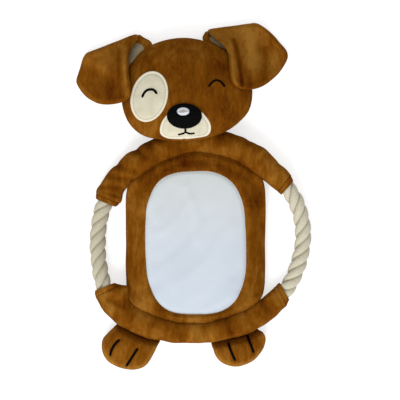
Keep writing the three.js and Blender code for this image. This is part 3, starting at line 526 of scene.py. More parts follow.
def face_away(piece, centre):
    """Flips the faces if they look towards a middle point, or a middle point for each of theirs."""
    if ((points_of(piece) - centre) * normals_of(piece)).sum() < 0:
        piece.data.flip_normals()


def ray_tree(piece):
    faces = [tuple(polygon.vertices) for polygon in piece.data.polygons]
    return BVHTree.FromPolygons([Vector(p) for p in points_of(piece)], faces)


def surface_of(piece, start=0.2, elsewhere=np.nanmin):
    """A function for the height of a piece's surface, as met from a starting height above or below."""
    tree = ray_tree(piece)
    direction = Vector((0, 0, -1 if start > 0 else 1))

    def height(xy):
        hits = [tree.ray_cast(Vector((x, y, start)), direction)[0] for x, y in xy]
        made = np.array([hit.z if hit else np.nan for hit in hits])
        made[np.isnan(made)] = elsewhere(made)
        return made

    return height


def point_tree(points):
    tree = KDTree(len(points))
    for i, p in enumerate(points):
        tree.insert(p, i)
    tree.balance()
    return tree


def nearest_turn(points):
    """The share of the route nearest each point, in plan."""
    grid = np.linspace(0, 1, 1200, endpoint=False)
    tree = point_tree(route_point(grid) * (1, 1, 0))
    return grid[[tree.find((x, y, 0))[1] for x, y, _ in points]]


# Outlines in plan: a centre, and a reach for each angle
ANGLES = np.linspace(-np.pi, np.pi, 721)
PAD_SOFTNESS = 1.2 * MM


def directions(angle):
    return np.column_stack([np.cos(angle), np.sin(angle)])


class Outline:
    def __init__(self, centre, reaches):
        self.centre, self.reaches = centre, reaches

    def reach(self, angle):
        return np.interp(np.mod(angle + np.pi, FULL_TURN) - np.pi, ANGLES, self.reaches)

    def polar(self, xy):
        """How far each place is from the centre, and the outline's reach in its direction."""
        x, y = (np.asarray(xy) - self.centre).T
        return np.hypot(x, y), self.reach(np.arctan2(y, x))

    def share(self, xy):
        radius, reach = self.polar(xy)
        return radius / reach

    def depth(self, xy):
        """How far inside the outline each place is, along its ray from the centre."""
        radius, reach = self.polar(xy)
        return reach - radius

    def place(self, angle, inset=0.0):
        return self.centre + directions(angle) * (self.reach(angle) - inset)[:, None]

    def smoothed(self, rounds=2):
        inner = self.reaches[:-1]
        for _ in range(rounds):
            inner = (np.roll(inner, 1) + 2 * inner + np.roll(inner, -1)) / 4
        return Outline(self.centre, np.append(inner, inner[0]))

    def cut(self, is_blocked, steps=160):
        """The outline cut back where a ray from its centre first meets a blocked place."""
        reaches = self.reaches.copy()
        open_rays = np.ones(len(ANGLES), bool)
        for k in range(1, steps + 1):
            radius = self.reaches * k / steps
            blocked = is_blocked(self.centre + directions(ANGLES) * radius[:, None]) & open_rays
            reaches[blocked] = self.reaches[blocked] * (k - 1 / 2) / steps
            open_rays &= ~blocked
        return Outline(self.centre, reaches).smoothed()


def drawn(centre, size, shares):
    """The outline through given points, which are shares of a size."""
    line = smooth_line(np.asarray(shares) * size, 16, closed=True)
    angle = np.arctan2(line[:, 1], line[:, 0])
    order = np.argsort(angle)
    return Outline(centre, np.interp(ANGLES, angle[order], lengths(line)[order], period=FULL_TURN))


def ellipse(centre, half_width, half_height, turn=0.0, power=2.0):
    across = np.abs(np.cos(ANGLES - turn) / half_width) ** power
    along = np.abs(np.sin(ANGLES - turn) / half_height) ** power
    return Outline(centre, (across + along) ** (-1 / power))


def disc_places(outline, columns, rings, inset=0.0):
    """Rings of places in plan from the centre to the outline, closer together at the edge."""
    spokes = outline.place(around(columns), inset) - outline.centre
    shares = np.sin(np.pi / 2 * np.arange(1, rings + 1) / rings)
    return outline.centre + shares[:, None, None] * spokes


def with_height(places, height):
    flat = places.reshape(-1, 2)
    return np.column_stack([flat, height(flat)]).reshape(*places.shape[:-1], 3)


def shell(name, places, top, bottom, sharp=False):
    """A closed disc between two heights; a sharp one has no ring of its own at its lower edge."""
    upper = with_height(places, top)
    lower = with_height(places[:-1] if sharp else places, bottom)
    return closed_tube(name, np.concatenate([upper, lower[::-1]]))


class Pad:
    """A stuffed form in plan: two crowned skins that meet at a seam."""

    def __init__(self, outline, seam, crown, sag, fullness, floor=lambda xy: 0, swell=lambda xy: 1):
        self.outline, self.seam, self.crown, self.sag = outline, seam, crown, sag
        self.fullness, self.floor, self.swell = fullness, floor, swell

    def rise(self, xy, inset):
        radius, reach = self.outline.polar(xy)
        share = np.clip(radius / np.maximum(reach - inset, TINY), 0, 1)
        return np.sqrt(1 - share**self.fullness) * self.swell(xy)

    def top(self, xy, inset=0.0):
        return self.seam(xy) + (self.crown - inset) * self.rise(xy, inset)

    def bottom(self, xy, inset=0.0):
        low = self.seam(xy) - (self.sag - inset) * self.rise(xy, inset)
        return soft_max(low, self.floor(xy) + inset, PAD_SOFTNESS)

    def mesh(self, name, columns, rings, inset=0.0):
        places = disc_places(self.outline, columns, rings, inset)
        return shell(name, places, lambda xy: self.top(xy, inset), lambda xy: self.bottom(xy, inset), True)


# Cloth
CLOTH_PRESSURE = 4
CLOTH_FRAMES = 20
CLOTH_SOFTNESS = 0.5 * MM
CARRY_NEIGHBOURS = 8
LOWEST = 0.1 * MM


def evaluated(piece):
    return piece.evaluated_get(bpy.context.evaluated_depsgraph_get())


def inflate(piece, is_pinned, cap, voxel=4.5 * MM):
    """Puffs up a remeshed copy of the piece: the copy's points, and how each one moved."""
    scene = bpy.context.scene
    copy = add_object(piece.name, piece.data.copy())
    remesh = copy.modifiers.new("remesh", "REMESH")
    remesh.mode = "VOXEL"
    remesh.voxel_size = voxel
    remeshed = bpy.data.meshes.new_from_object(evaluated(copy))
    copy.modifiers.clear()
    copy.data = remeshed
    rest = points_of(copy)
    pins = copy.vertex_groups.new(name="pin")
    pins.add(np.flatnonzero(is_pinned(rest)).tolist(), 1.0, "REPLACE")
    cloth = copy.modifiers.new("cloth", "CLOTH").settings
    cloth.use_pressure = True
    cloth.uniform_pressure_force = CLOTH_PRESSURE
    cloth.vertex_group_mass = "pin"
    cloth.effector_weights.gravity = 0
    for k in range(1, CLOTH_FRAMES + 1):
        scene.frame_set(k)
    moved = points_of(evaluated(copy)) - rest
    bpy.data.objects.remove(copy)
    scene.frame_set(1)
    length = lengths(moved)
    return rest, moved * (np.minimum(length, cap) / np.maximum(length, TINY))[:, None]


def carry(piece, simulated):
    """Moves a piece's points as the nearest points of a simulated copy moved."""
    if simulated is None:
        return
    rest, moved = simulated
    tree = point_tree(rest)
    points = points_of(piece)
    for i, p in enumerate(points):
        near = tree.find_n(p, CARRY_NEIGHBOURS)
        weights = np.array([1 / (distance + CLOTH_SOFTNESS) ** 2 for _, _, distance in near])
        points[i] += weights @ moved[[index for _, index, _ in near]] / weights.sum()
    points[:, 2] = np.maximum(points[:, 2], LOWEST)
    set_points(piece, points)


def neighbour_mean(values, edges):
    total = np.zeros_like(values)
    for here, there in (edges.T, edges.T[::-1]):
        np.add.at(total, here, values[there])
    count = np.bincount(edges.ravel(), minlength=len(values))
    return (total.T / np.maximum(count, 1)).T


def smooth_points(piece, amount, rounds):
    """Relaxes the points towards their neighbours' mean."""
    points, edges = points_of(piece), edges_of(piece)
    for _ in range(rounds):
        points += amount * (neighbour_mean(points, edges) - points)
    set_points(piece, points)


# Pile
HOLLOW_ROUNDS = 5
HOLLOW_GAIN = 4
# Where the pile is lighter (+) or darker (-), partly its nap and partly painted shade and painted light:
# pixel, radius in millimetres and amount
NAP_AND_SHADE_MARKS = [
    ((190, 74), 26, -0.8), ((214, 112), 20, -0.7), ((222, 70), 10, -1.0), ((236, 108), 12, -0.3),
    ((148, 128), 12, 0.5), ((160, 60), 12, 0.1), ((180, 44), 8, -0.4), ((168, 104), 7, 0.2),
    ((112, 52), 14, 0.7), ((92, 62), 10, 0.3), ((110, 94), 12, -1.1), ((86, 88), 8, 0.3),
    ((118, 74), 8, -0.2), ((126, 68), 4, 0.7), ((248, 34), 16, 1.6), ((216, 34), 9, 1.1),
    ((272, 60), 9, 0.7), ((250, 88), 14, -0.9), ((252, 60), 10, 0.8), ((233, 62), 4, 0.5),
    ((196, 147), 22, 0.2), ((217, 141), 6, -0.7), ((163, 144), 10, -0.6), ((150, 158), 9, -0.6),
    ((230, 152), 12, 0.6), ((262, 158), 14, 0.5), ((284, 176), 9, 0.6), ((112, 186), 12, -0.5),
    ((132, 160), 7, 0.2), ((104, 198), 7, 0.3), ((188, 166), 20, -1.3), ((240, 178), 18, -1.1),
    ((150, 176), 12, -0.9), ((256, 200), 12, -0.8), ((136, 236), 22, 0.35), ((257, 244), 20, -0.3),
    ((140, 300), 14, 1.2), ((246, 306), 13, 0.9), ((192, 318), 14, 0.7), ((112, 308), 7, 1.0),
    ((126, 302), 7, -1.2), ((105, 293), 9, 1.2), ((117, 288), 5, -0.7), ((130, 315), 7, -0.9),
    ((178, 326), 9, -0.3), ((160, 334), 12, 0.7), ((205, 336), 12, 0.5), ((228, 326), 9, -0.4),
    ((254, 313), 8, -0.8), ((278, 293), 7, 1.1), ((268, 308), 7, -0.6), ((284, 300), 7, 0.4),
    ((116, 356), 9, 0.7), ((132, 342), 8, -0.3), ((222, 358), 8, 0.5), ((250, 340), 8, -0.3),
]


def mark_pile(piece, shade=0.0):
    """Stores how hollow (+) or ridged (-) the surface is, which the plush turns into painted shade in
    hollows and painted light on ridges, and the marks of nap, painted shade and painted light on its front.
    """
    points, normals, edges = points_of(piece), normals_of(piece), edges_of(piece)
    mean_step = lengths(points[edges[:, 0]] - points[edges[:, 1]]).mean()
    hollow = ((neighbour_mean(points, edges) - points) * normals).sum(1) / mean_step
    for _ in range(HOLLOW_ROUNDS):
        hollow = (hollow + neighbour_mean(hollow, edges)) / 2
    store(piece, "hollow", np.clip(hollow * HOLLOW_GAIN, -1, 1))
    on_front = smoothstep(normals[:, 2] + 0.4)
    # Marks of nap with painted shade and painted light, on the parts that face up
    store(piece, "nap_and_shade", (shade + spots(points[:, :2], NAP_AND_SHADE_MARKS)) * on_front)


# Materials
CLUMP_WEIGHT = 0.34
SMOOTH_CLUMP_WEIGHT = 0.2


def plush_material(name, clump_weight):
    """Short brown pile: brushed patches, streaks where it lies over, marks of nap with painted shade and
    painted light, and painted shade in hollows.
    """
    shader = Shader(
        name, Roughness=1, Specular_IOR_Level=0.03,
        Sheen_Weight=0.08, Sheen_Roughness=0.5, Sheen_Tint=srgb(200, 130, 50),
    )
    patches = shader.noise(24 * MM, 3, 0.55, (1, 0.6, 1), 0.4)
    clumps = shader.noise(7 * MM, 3, 0.6, (1.2, 0.4, 1), 0.5)
    tufts = shader.noise(2.2 * MM, 2, 0.6, (1.2, 0.4, 1))
    grain = shader.noise(0.6 * MM, 2, 0.7, (1.3, 0.5, 1))
    marks, hollow = shader.attribute("nap_and_shade"), shader.attribute("hollow")
    # The marks add painted shade and painted light; hollows take painted shade and ridges painted light
    shares = (
        (patches, 0.34), (clumps, clump_weight), (tufts, 0.16), (grain, 0.16),
        (marks, 0.115), (hollow, -0.1),
    )
    nap_and_shade = (CLUMP_WEIGHT - clump_weight) / 2
    for source, weight in shares:
        nap_and_shade = shader.math("ADD", nap_and_shade, shader.math("MULTIPLY", source, weight))
    colour = shader.ramp(
        nap_and_shade, (0.12, (56, 22, 1)), (0.3, (80, 33, 1)), (0.5, (123, 71, 9)),
        (0.7, (161, 109, 39)), (0.95, (182, 131, 58)),
    )
    return shader.finish(colour, (clumps, 0.45, 1.4 * MM), (tufts, 0.5, 0.7 * MM), (grain, 0.5, 0.35 * MM))


def canvas_material():
    """White cotton, bluer at its lower end."""
    shader = Shader("canvas", Roughness=0.7, Specular_IOR_Level=0.25, Sheen_Weight=0.1)
    clouds = shader.noise(30 * MM, 2, 0.5, None, 0.5)
    upper = shader.attribute("upper")
    cloth = shader.ramp(upper, (0.1, (200, 212, 224)), (0.5, (208, 216, 226)), (0.9, (215, 222, 220)))
    colour = shader.tint(cloth, (228, 234, 242), clouds, 0.5)
    return shader.finish(colour, (clouds, 0.12, 1.5 * MM), (shader.weave(0.7 * MM), 0.25, 0.12 * MM))


def felt_material():
    shader = Shader("felt", Roughness=0.92, Specular_IOR_Level=0.2, Sheen_Weight=0.25)
    fibres = shader.noise(1.1 * MM, 4, 0.7, None, 1.5)
    base = shader.ramp(shader.noise(9 * MM), (0.3, (217, 210, 184)), (0.7, (231, 225, 201)))
    rim = shader.tint(base, (243, 235, 212), shader.attribute("rim"))
    return shader.finish(shader.tint(rim, (170, 162, 134), fibres, 0.16), (fibres, 0.35, 0.3 * MM))


def rope_material():
    """Cotton yarns that run across each strand, with painted shade in the grooves and over the left rope.
    """
    shader = Shader("rope_cotton", Roughness=0.85, Specular_IOR_Level=0.2, Sheen_Weight=0.2)
    yarns = shader.attribute("yarn")
    fuzz = shader.noise(1.3 * MM, 3, 0.6)
    colour = shader.ramp(fuzz, (0.3, (202, 195, 169)), (0.7, (229, 223, 202)))
    # Painted shade over the whole left rope, which is darker and browner than the right
    colour = shader.tint(colour, (120, 102, 66), shader.attribute("painted_shade"))
    colour = shader.tint(colour, (168, 158, 132), yarns, 0.12)
    # Painted shade in the grooves between the strands
    colour = shader.tint(colour, (150, 140, 114), shader.attribute("groove"), 0.75)
    return shader.finish(colour, (yarns, 0.3, 0.3 * MM), (fuzz, 0.45, 0.4 * MM))


def lining_material():
    shader = Shader("ear_lining", Roughness=0.85, Sheen_Weight=0.15)
    fold = shader.noise(9 * MM, 3, 0.6, (0.4, 1.4, 1))
    colour = shader.ramp(fold, (0.3, (116, 103, 76)), (0.7, (152, 139, 110)))
    return shader.finish(colour, (fold, 0.4, 1 * MM), (shader.weave(0.8 * MM), 0.2, 0.12 * MM))


def plain_material(name, texture, dark, light, strength, depth, **sockets):
    """One texture, which runs from a dark to a light stop and raises the surface."""
    shader = Shader(name, **sockets)
    height = texture(shader)
    return shader.finish(shader.ramp(height, dark, light), (height, strength, depth))


def thread_material(name, dark, light, roughness=0.7, specular=0.2, pitch=0.9 * MM, strength=0.3):
    """Satin-stitched thread: fine lines across the stitch."""
    return plain_material(
        name, lambda shader: shader.waves(pitch, distortion=1.5), (0.2, dark), (0.8, light),
        strength, 0.15 * MM, Roughness=roughness, Specular_IOR_Level=specular,
    )


def black_material(name, light, roughness):
    """Matt black satin stitch: the lines of thread show only in the light."""
    return thread_material(name, (1, 1, 1), light, roughness, 0.03, 0.8 * MM, 0.4)


def plastic_material(name, dark, light, roughness):
    return plain_material(
        name, lambda shader: shader.noise(2.5 * MM, 3, 0.6), (0.3, dark), (0.7, light),
        0.08, 0.1 * MM, Roughness=roughness,
    )


PLUSH = plush_material("plush", CLUMP_WEIGHT)
SMOOTH_PLUSH = plush_material("smooth_plush", SMOOTH_CLUMP_WEIGHT)
CANVAS = canvas_material()
FELT = felt_material()
ROPE = rope_material()
LINING = lining_material()
BLACK = black_material("black_thread", (15, 12, 9), 0.75)
NOSE = black_material("nose_cloth", (11, 11, 12), 0.6)
WHITE_THREAD = thread_material("highlight_thread", (205, 208, 214), (238, 240, 243))
GREY_THREAD = thread_material("patch_thread", (158, 153, 134), (184, 179, 160))
BROWN_THREAD = thread_material("seam_thread", (32, 13, 2), (54, 25, 4), 0.9, 0)
BULB_PLASTIC = plastic_material("squeaker_plastic", (222, 217, 204), (236, 232, 222), 0.35)
REED_PLASTIC = plastic_material("reed_plastic", (22, 20, 19), (34, 32, 30), 0.3)
FILLING = plain_material(
    "filling", lambda shader: shader.noise(5 * MM, 5, 0.75, None, 2), (0.3, (222, 222, 216)),
    (0.7, (248, 248, 244)), 0.8, 1.5 * MM, Roughness=0.95, Sheen_Weight=0.3,
)
FILM = plain_material(
    "crinkle_film", lambda shader: shader.cells(9 * MM), (0.1, (186, 192, 202)),
    (0.6, (216, 221, 228)), 0.5, 0.5 * MM, Roughness=0.25, Alpha=0.55,
)
HIDDEN_ROPE = plain_material(
    "hidden_rope", lambda shader: shader.waves(12 * MM, distortion=2), (0.1, (160, 150, 122)),
    (0.6, (212, 204, 180)), 0.6, 1 * MM, Roughness=0.85,
)


def dress(piece, material):
    piece.data.materials.clear()
    piece.data.materials.append(material)


def finish_piece(piece, material, slot, body, *replaced):
    dress(piece, material)
    if body:
        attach(piece, body)
    if replaced:
        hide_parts(*replaced)


# Ropes: three strands laid round each other
ROPE_LAY = 39 * MM
ROPE_TUCK = 26 * MM
ROPE_PEAK = 8.25 * MM
ROPE_VALLEY = 5.9 * MM
ROPE_WANDER = 0.15 * MM
STRAND_RADIUS = 3.95 * MM
YARN_WIDTH = 2.1 * MM
YARN_ALONG, YARN_ACROSS = 0.35, 1.6
GROOVE_SHARE = 0.28
STRAND_ROUNDNESS = 2.4
# How much painted shade darkens each rope as a whole
ROPE_PAINTED_SHADE = {"left": 0.22, "right": 0}


def strands(turn):
    """The reach of three laid strands at each angle, how near a groove it is, and the strand's angle."""
    third = np.pi / 3
    local = np.mod(turn + third, 2 * third) - third
    across = np.abs(local) / third
    groove = smoothstep((across - 1) / GROOVE_SHARE + 1)
    return lerp(ROPE_PEAK, ROPE_VALLEY, across**STRAND_ROUNDNESS), groove, local


def add_rope(side):
    arm, leg = cuff(f"{side}_arm"), cuff(f"{side}_leg")
    tuck = ROPE_TUCK / ROUTE_LENGTH
    centre, along, outward = route_frame(np.linspace(min(arm, leg) - tuck, max(arm, leg) + tuck, 200))
    run = run_along(centre)[:, None]
    turn = around(72)
    radius, groove, local = strands(turn + FULL_TURN * run / ROPE_LAY)
    reach = radius + ROPE_WANDER * np.sin(run / (5 * MM))
    across, up = outward[:, None], np.cross(outward, along)[:, None]
    ring = np.cos(turn)[:, None] * across + np.sin(turn)[:, None] * up
    rope = closed_tube(f"{side}_rope", centre[:, None] + ring * reach[..., None])
    yarns = (YARN_ALONG * run + YARN_ACROSS * STRAND_RADIUS * local) / YARN_WIDTH
    yarn = 0.5 + 0.5 * np.sin(FULL_TURN * yarns)
    # The painted shade of the whole rope
    painted_shade = np.full(yarn.shape, ROPE_PAINTED_SHADE[side])
    for name, values in (("groove", groove), ("yarn", yarn), ("painted_shade", painted_shade)):
        store(rope, name, np.append(values, [0, 0]))
    finish_piece(rope, ROPE, "rope", f"{side}_handle", f"rope_{side}")
    line = centre if arm < leg else centre[::-1]
    route_point([arm])[0]
    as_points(line[::4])


add_rope("left")
add_rope("right")


# Sleeves: plush tubes over the rope, gathered in folds
SLEEVE_SIDES = 56
SLEEVE_STEP = 1.6 * MM
SLEEVE_SQUARENESS = 2 / 2.25
LIP_RADIUS = 1.3 * MM
CUFF_SEAM_INSET = 4.5 * MM
ROPE_CLEARANCE = 0.9 * MM
JOIN_REACH = 0.81
FOLD_SHADE_DEPTH = 3.2 * MM
# Lumps all over: size, seed and height, sizes in millimetres
SLEEVE_LUMPS = [(17, 3.1, 0.9), (8, 5.7, 0.35)]
# How far the cloth's rings run back inside a cuff, in millimetres
HIDDEN_REACHES = (4, 8, 14)
# Cuffs that end askew: how far the middle, and then the outer side, draws back, in millimetres
CUFF_SKEWS = {"right_arm": (2.2, 2.2), "right_leg": (3.5, 4.5)}
CUFF_SKEW_REACH = 22 * MM
# Local swellings (+) and dents (-): pixel, radius and height in millimetres
SLEEVE_BUMPS = [
    ((118, 165), 4, -1.6), ((137, 150), 4, -1.4), ((128, 156), 6, 0.8), ((116, 204), 6, 2.0),
    ((120, 199), 6, 3.4), ((98, 190), 7, 2.2), ((104, 180), 6, 0.5), ((121, 291), 7.5, 12.0),
    ((126, 298), 5, 2.5), ((96, 295), 7, 2.2), ((104, 309), 9, 1.8), ((114, 322), 8, 1.6),
    ((265, 151), 7, 0.8), ((281, 162), 4, -1.0), ((250, 141), 4, -1.0), ((146, 338), 5, 0.6),
    ((270, 321), 5, -0.9), ((259, 330), 5, -0.6), ((160, 340), 6, -0.6), ((230, 337), 7, -0.6),
]
# Folds that cross a sleeve: pixels, width and depth in millimetres
FOLDS = [
    ([(101, 187), (121, 188)], 2.4, 1.7), ([(110, 176), (131, 180)], 2.6, 1.6),
    ([(117, 165), (134, 172)], 3.0, 1.1), ([(104, 192), (119, 197)], 1.2, 1.4),
    ([(136, 149), (146, 158)], 2.8, 1.3), ([(150, 143), (156, 160)], 3.4, 1.0),
    ([(246, 142), (240, 160)], 2.8, 1.1), ([(266, 154), (256, 167)], 3.0, 1.2),
    ([(222, 134), (214, 150)], 3.0, 0.9), ([(176, 136), (182, 152)], 3.4, 0.8),
    ([(96, 291), (112, 289)], 1.8, 0.9), ([(108, 298), (124, 306)], 3.0, 1.6),
    ([(118, 304), (114, 322)], 3.0, 1.3), ([(134, 312), (128, 328)], 3.0, 1.0),
    ([(152, 320), (148, 336)], 3.4, 1.0), ([(178, 324), (184, 342)], 3.4, 1.2),
    ([(204, 324), (206, 342)], 3.0, 0.9), ([(226, 318), (232, 336)], 3.2, 1.1),
    ([(246, 310), (254, 327)], 3.0, 1.1), ([(262, 300), (272, 316)], 2.8, 1.2),
    ([(274, 290), (286, 305)], 1.8, 1.1),
]


def sleeve_rings(ts, inset=0.0):
    centre, _, outward = route_frame(ts)
    turn = around(SLEEVE_SIDES)
    waves = np.array([np.cos(turn), np.sin(turn)])
    across, up = np.sign(waves) * np.abs(waves) ** SLEEVE_SQUARENESS
    half, tall = sleeve_half_width(ts) - inset, sleeve_half_height(ts) - inset
    rings = centre[:, None] + outward[:, None] * (across * half[:, None])[..., None]
    rings[..., 2] += up * tall[:, None]
    return rings


def cuff_rings(at, cuff_end):
    """The rings that turn in round a cuff's lip and run back inside it."""
    turns = np.linspace(0, np.pi, 7)[1:]
    moves = [(math.sin(turn) * LIP_RADIUS, LIP_RADIUS * (1 - math.cos(turn))) for turn in turns]
    moves += [(-reach * MM, 2 * LIP_RADIUS + 0.02 * MM * reach) for reach in HIDDEN_REACHES]
    return [sleeve_rings(np.array([at + cuff_end * move / ROUTE_LENGTH]), inset) for move, inset in moves]


def shape_sleeve(points, normals):
    """Lumps, dents and folds, which are the same on each side of a join between two sleeves."""
    points = points + normals * spots(points[:, :2], SLEEVE_BUMPS)[:, None] * MM
    lumps = sum(noise_at(points, size * MM, seed) * height * MM for size, seed, height in SLEEVE_LUMPS)
    above = smoothstep((points[:, 2] - SLEEVE_AXIS) / (6 * MM) + 0.5)
    points += normals * (lumps - creases(points[:, :2], FOLDS) * above)[:, None]
    points[:, 2] = soft_max(points[:, 2], 0.15 * MM, 1 * MM)
    return points


def clear_of_rope(points, centre):
    """Keeps a sleeve's cloth outside the rope that it covers."""
    away = points - centre
    reach = lengths(away)
    least = ROPE_PEAK + ROPE_CLEARANCE
    return centre + away * (np.maximum(reach, least) / np.maximum(reach, TINY))[:, None]


def cuff_groove(points, at, cuff_end):
    """How far the cloth draws in at a cuff's seam and beyond it."""
    seam = route_point([at - cuff_end * CUFF_SEAM_INSET / ROUTE_LENGTH])[0]
    _, along, _ = frame_at(at)
    inwards = (points - seam) @ along * -cuff_end
    return 0.8 * MM * bell(inwards, 1 * MM) + 1.1 * MM * smoothstep(-inwards / (4 * MM))


def cuff_shift(limb, side):
    middle, outer = CUFF_SKEWS.get(limb, (0, 0))
    return (middle + outer * side) * MM


def skew_cuff(points, limb, at, cuff_end):
    """Draws a cuff's end back along the limb, further on its outer side."""
    centre, along, outward = frame_at(at)
    back = -cuff_end * along
    offset = points - centre
    side = np.clip(offset @ outward / (CUFF_WIDTH / 2), -1, 1)
    fade = 1 - smoothstep(offset @ back / CUFF_SKEW_REACH)
    return points + back * (cuff_shift(limb, side) * fade)[:, None]


def add_sleeve(limb, start, end, cuff_end=0):
    """A sleeve between two shares of the route; cuff_end is -1 or 1 where that end is a cuff."""
    ts = np.linspace(start, end, max(8, round((end - start) * ROUTE_LENGTH / SLEEVE_STEP)))
    at = end if cuff_end > 0 else start
    rings = [sleeve_rings(ts), *(cuff_rings(at, cuff_end) if cuff_end else [])]
    if cuff_end < 0:
        rings = [*rings[:0:-1], rings[0]]
    sleeve = rings_object(f"{limb}_cover", np.concatenate(rings))
    points = points_of(sleeve)
    centre = route_point(nearest_turn(points))
    normals = points - centre
    normals /= np.maximum(lengths(normals), TINY)[:, None]
    shaped = clear_of_rope(shape_sleeve(points, normals), centre)
    if cuff_end:
        shaped = clear_of_rope(shaped - normals * cuff_groove(points, at, cuff_end)[:, None], centre)
        hidden = len(HIDDEN_REACHES) * SLEEVE_SIDES
        inner = slice(-hidden, None) if cuff_end > 0 else slice(hidden)
        shaped[inner] = points[inner]
        shaped = skew_cuff(shaped, limb, at, cuff_end)
    set_points(sleeve, shaped)
    face_away(sleeve, centre)
    mark_pile(sleeve, -creases(points_of(sleeve)[:, :2], FOLDS) / FOLD_SHADE_DEPTH)
    finish_piece(sleeve, PLUSH, "plush", None if cuff_end else "torso", f"{limb}_sleeve")
    if cuff_end:
        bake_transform(sleeve)


def join_turn(limb):
    """Where a limb's sleeve meets the yoke or the seat: a share of the way to its cuff."""
    middle = {"right_arm": 0, "left_arm": 1}.get(limb, 0.5)
    grid = np.linspace(middle, cuff(limb), 400)
    reach = np.abs(route_point(grid)[:, 0] - BODY_CENTRE[0])
    return grid[np.argmax(reach > JOIN_REACH * FOLD_REACH)]


add_sleeve("yoke", join_turn("left_arm") - 1, join_turn("right_arm"))
add_sleeve("seat", join_turn("right_leg"), join_turn("left_leg"))
for limb, cuff_end in (("left_arm", -1), ("right_arm", 1), ("left_leg", 1), ("right_leg", -1)):
    add_sleeve(limb, *sorted((cuff(limb), join_turn(limb))), cuff_end)


# Body
BODY_HALF_WIDTH = 70 * MM
BODY_SEAM = 11 * MM
BODY_CROWN = 12 * MM
BODY_TUCK = 2.2 * MM
WEB_HEIGHT = 5 * MM
WEB_REACH = 9 * MM
CLOTH_SEAM_REACH = 2.5 * MM
BORDER_ROLL = 1.6 * MM
BORDER_ROLL_SHARE = 1.15
BORDER_DIP = 1.5 * MM
BORDER_DIP_WIDTH = 2.2 * MM
HEM_DROP = 2.2 * MM
HEM_TURN_DROP = 4 * MM
HEM_TURN_REACH = 5 * MM
TUMMY_HALF = np.array([51, 71.75]) * MM
TUMMY_POWER = 2.9
TUMMY_TURN = 0.022
TUMMY_ALLOWANCE = 3 * MM
TUMMY_SINK = 0.9 * MM
TUMMY_DIP = 1.2 * MM
TUMMY_DIP_WIDTH = 1.6 * MM
# Folds of the body's cover: pixels, width and depth in millimetres
BODY_CREASES = [
    ([(214, 154), (214.5, 162), (213, 170)], 1.3, 1.2),
    ([(127, 262), (131, 276), (136, 288)], 5, 0.8),
    ([(265, 250), (263, 270), (258, 288)], 5, 0.8),
    ([(252, 172), (256, 184), (257, 200)], 4, 0.9),
    ([(140, 178), (137, 190), (136, 204)], 5, 0.8),
]
# Faint wrinkles of the tummy: pixels, width and height in millimetres
TUMMY_WRINKLES = [
    ([(162, 232), (176, 220), (190, 200)], 4.5, 0.9),
    ([(158, 262), (180, 244), (204, 214)], 5, -0.8),
    ([(176, 284), (204, 262), (232, 226)], 6, 0.8),
    ([(196, 306), (218, 290), (236, 268)], 5, -0.8),
    ([(186, 186), (196, 210), (198, 240)], 5, 0.6),
    ([(152, 210), (160, 204), (170, 190)], 5, -0.6),
    ([(206, 312), (226, 300), (238, 284)], 4, 0.7),
]


def body_outline():
    whole = ellipse(BODY_CENTRE, RING_HALF[0], RING_HALF[1] + 7 * MM)
    ring = whole.cut(lambda xy: sleeve_clearance(xy) < -BODY_TUCK)
    side = BODY_HALF_WIDTH / np.maximum(np.abs(np.cos(ANGLES)), TINY)
    power = np.where(np.sin(ANGLES) > 0, 30, 16)
    return Outline(BODY_CENTRE, (ring.reaches**-power + side**-power) ** (-1 / power))


def body_seam(xy):
    """The side seam, which climbs where the body is sewn to the yoke and the seat."""
    return BODY_SEAM + WEB_HEIGHT * smoothstep(1 - sleeve_clearance(xy) / WEB_REACH)


BODY = body_outline()
TUMMY = ellipse(BODY_CENTRE, *TUMMY_HALF, TUMMY_TURN, TUMMY_POWER)
body_pad = Pad(BODY, body_seam, BODY_CROWN, BODY_SEAM, 3.5)


def body_top(xy):
    """The border stands up as a roll round the tummy, and dips at both seams."""
    to_tummy, to_edge = -TUMMY.depth(xy), BODY.depth(xy)
    across = np.clip(to_tummy / np.maximum(to_tummy + to_edge, TINY), 0, 1)
    roll = BORDER_ROLL * np.sin(np.pi * np.clip(across * BORDER_ROLL_SHARE, 0, 1))
    border = np.where(to_tummy > 0, roll, 0) - BORDER_DIP * bell(to_tummy, BORDER_DIP_WIDTH)
    return np.maximum(body_pad.top(xy), body_seam(xy)) + border * smoothstep(to_edge / (3 * MM))


def add_body():
    """The cover is open under the tummy, and its hem turns in below it."""
    columns, rings = 200, 26
    form = body_pad.mesh("body_form", 120, 24)
    simulated = inflate(form, lambda p: np.abs(p[:, 2] - BODY_SEAM) < CLOTH_SEAM_REACH, 3 * MM)
    bpy.data.objects.remove(form)

    inner, outer = TUMMY.place(around(columns)), BODY.place(around(columns))
    shares = np.sin(np.pi / 2 * np.arange(rings + 1) / rings)
    upper = with_height(inner + (outer - inner) * shares[:, None, None], body_top)
    hem = upper[:1] - UP * HEM_DROP
    under = TUMMY.place(around(columns), -HEM_TURN_REACH)[None]
    under = with_height(under, lambda xy: body_top(xy) - HEM_TURN_DROP)
    lower = with_height(disc_places(BODY, columns, 30)[:-1], body_pad.bottom)
    cover = rings_object("body_cover", np.concatenate([under, hem, upper, lower[::-1]]), False, True)
    face_away(cover, (*BODY_CENTRE, BODY_SEAM))
    carry(cover, simulated)
    ruffle(cover, 24 * MM, 0.7 * MM, 1.3)
    push(cover, -creases(points_of(cover)[:, :2], BODY_CREASES) * (normals_of(cover)[:, 2] > 0.1))
    mark_pile(cover)
    finish_piece(cover, PLUSH, "plush", "torso", "body_front", "body_back")

    tummy = tummy_disc("tummy_canvas", 0, 1.2 * MM)
    carry(tummy, simulated)
    height = (points_of(tummy)[:, 1] - BODY_CENTRE[1]) / TUMMY_HALF[1]
    store(tummy, "upper", 0.5 + height / 2)
    finish_piece(tummy, CANVAS, "canvas", "torso", "tummy_panel")


